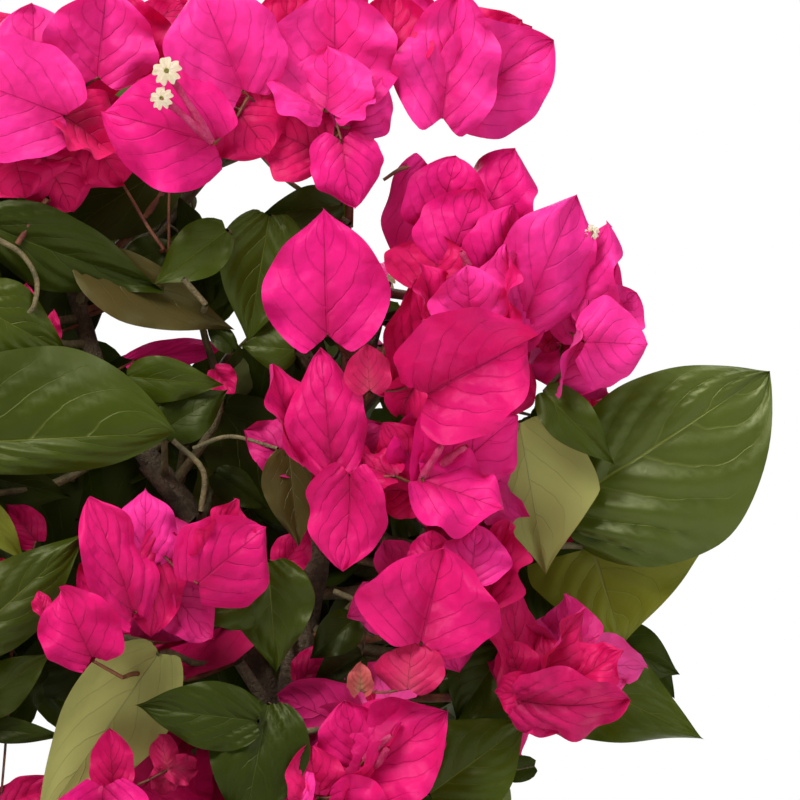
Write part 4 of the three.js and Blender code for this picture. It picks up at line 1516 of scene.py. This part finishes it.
shade = {
    "steps": (4.0, 2.5),    # how far apart the places looked at are, in two rounds
    "near": ((0, 0), (3, 0), (-3, 0), (0, 3), (0, -3)),    # no sky may show at these offsets
    "lengths": (48, 38, 29, 21, 14),
    "tries": 7,
    "depth": (13, 32),
    "bractBroad": 0.85,
    "leafBroad": 0.6,
    "grid": (11, 7),
    "covers": (0.42, 0.22),    # what one leaf covers, along and across, as shares of its length
    "seed": 211,
}


def coveredTree():
    points, faces, first = [], [], 0
    for bundle in list(headBundles.values()) + list(leafBundles.values()):
        points += bundle.points
        faces += [first + quads for quads in bundle.faces]
        first += bundle.count
    return BVHTree.FromPolygons(np.concatenate(points).tolist(), np.concatenate(faces).tolist())


def barePlaces(step):
    # Places, by x and z, where the crown is closed but no blade lies.
    cover = coveredTree()
    bare = []
    for x in np.arange(*window["x"], step):
        for z in np.arange(*window["z"], step):
            closed = not any(isSky(x + a, z + b) for a, b in shade["near"])
            if closed and not isHit(cover, x, z):
                bare.append((x, z))
    return bare


dice = random.Random(shade["seed"])
shaded = 0
for step in shade["steps"]:
    bare = barePlaces(step)
    while bare:
        x, z = bare.pop(dice.randrange(len(bare)))
        depth = dice.uniform(*shade["depth"])
        # The nearest node takes it. Depth counts for less than what shows from the front.
        name = min(nodeMiddles,
                   key=lambda node: np.linalg.norm((nodeMiddles[node] - (x, depth, z)) * (1, 0.3, 1)))
        # Bracts and leaves here take the copies of the pink and the green with painted shade.
        if name in headBundles:
            bundle, form, material = headBundles[name], bractForm, bracts["bractDeep"]
            broad = shade["bractBroad"]
        else:
            bundle, form, material = leafBundles[name], leafForm, leaves["leafDark"]
            broad = shade["leafBroad"]
        for length in shade["lengths"] * shade["tries"]:
            angle = dice.uniform(0, fullTurn)
            way = np.array([math.cos(angle), dice.uniform(-0.25, 0.25), math.sin(angle)])
            base = np.array([x, depth, z]) - way * length * 0.45
            facing = forward + np.array([dice.uniform(-0.4, 0.4), 0, dice.uniform(0, 0.6)])
            if placeBlade(bundle, base * mm, (base + way * length) * mm, facing, length * broad * mm,
                          form, material, dice, *shade["grid"], test=fits):
                aside = np.array([-way[2], way[0]])
                ahead = np.array([way[0], way[2]])
                far, wide = (length * share for share in shade["covers"])
                offsets = [np.array(spot) - (x, z) for spot in bare]
                bare = [spot for spot, off in zip(bare, offsets)
                        if (off @ ahead / far) ** 2 + (off @ aside / wide) ** 2 > 1]
                shaded += 1
                joinUp(base, stalkRule["radius"])
                break
print("shaded leaves made:", shaded, "stalks joined and failed:", joints)

hollows = {
    # leaves in the green's copy with painted shade, put deep in the hollows to stand for shade there: node,
    # base x and z, tip x and z, width and depth, millimetres
    "leaves": [("leaves_low_middle", 82, 415, 68.5, 403, 13, -16),
               ("leaves_low_middle", 84, 404, 69, 395, 13, -14),
               ("leaves_upper_left", 14, 521, 30, 527, 12, -4)],
    "grid": (18, 11),
    "seed": 41,
}
dice = random.Random(hollows["seed"])
for name, x0, z0, x1, z1, width, depth in hollows["leaves"]:
    base, tip = np.array([x0, depth, z0], dtype=float), np.array([x1, depth - 1, z1], dtype=float)
    placeLeaf(leafBundles[name], base, tip, forward, width, "Dark", dice, hollows["grid"])
    joinBlade(leafBundles[name], base, stalkRule["bractRadius"])
for name, bundle in headBundles.items():
    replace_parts(bundle.build("bracts_" + name[6:]), name)
for name, bundle in leafBundles.items():
    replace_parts(bundle.build("foliage_" + name[7:]), name)


# Twigs that show between the heads, as (points), (radius at both ends), material.

shownTwigs = [
    ([(-24.6, -22, 528), (-17.1, -23, 523.5), (-12.6, -22, 516), (-13.2, -21, 508.5),
      (-15.6, -20, 505.5)], (0.9, 0.75), twigMaterial),
    ([(9, -8, 550), (14.4, -10, 541.5), (20, -12, 532), (24.9, -11, 525)], (0.4, 0.6), stalkMaterial),
    ([(27, -9, 552), (26.4, -11, 538.5), (26.4, -10, 525)], (0.35, 0.5), stalkMaterial),
    ([(-18.6, -16, 526.5), (-9.6, -18, 540)], (0.9, 0.8), stalkMaterial),
    ([(54, -6, 553), (60, -4, 547), (70, 0, 540), (80, 0, 533)], (0.6, 0.9), twigMaterial),
    ([(30.9, -18, 516), (37.5, -15, 508.5)], (1.0, 0.9), twigMaterial),
    ([(27.9, -22, 468), (36.9, -22, 459), (36.3, -20, 447)], (0.9, 0.9), twigMaterial),
    ([(33.9, -20, 465.6), (45, -22, 469.2), (58.8, -22, 465.6)], (0.7, 0.6), twigMaterial),
    ([(18.9, -12, 460.5), (32.4, -6, 444)], (1.8, 2.2), barkMaterial),
    ([(47.4, -18, 402), (57.9, -12, 385.5)], (1.8, 2.0), barkMaterial),
    ([(63.9, -20, 381), (75.9, -22, 382.5)], (1.2, 1.0), twigMaterial),
    ([(75.9, -16, 423), (83.4, -20, 420)], (1.0, 0.9), twigMaterial),
    ([(90.5, -14, 545.6), (96, -13, 549), (103, -8, 550), (112, 0, 545)], (0.5, 0.9), stalkMaterial),
    ([(5.4, -50, 403.5), (13.8, -44, 398.4)], (0.5, 0.6), stalkMaterial),
]
for points, radii, material in shownTwigs:
    addStalk(points, radii, material, 8, isHeld=runBack(points[-1], radii[1], material))
twigs.build("twigs")
florets.build("flowers")
print("twigs and flowers made")
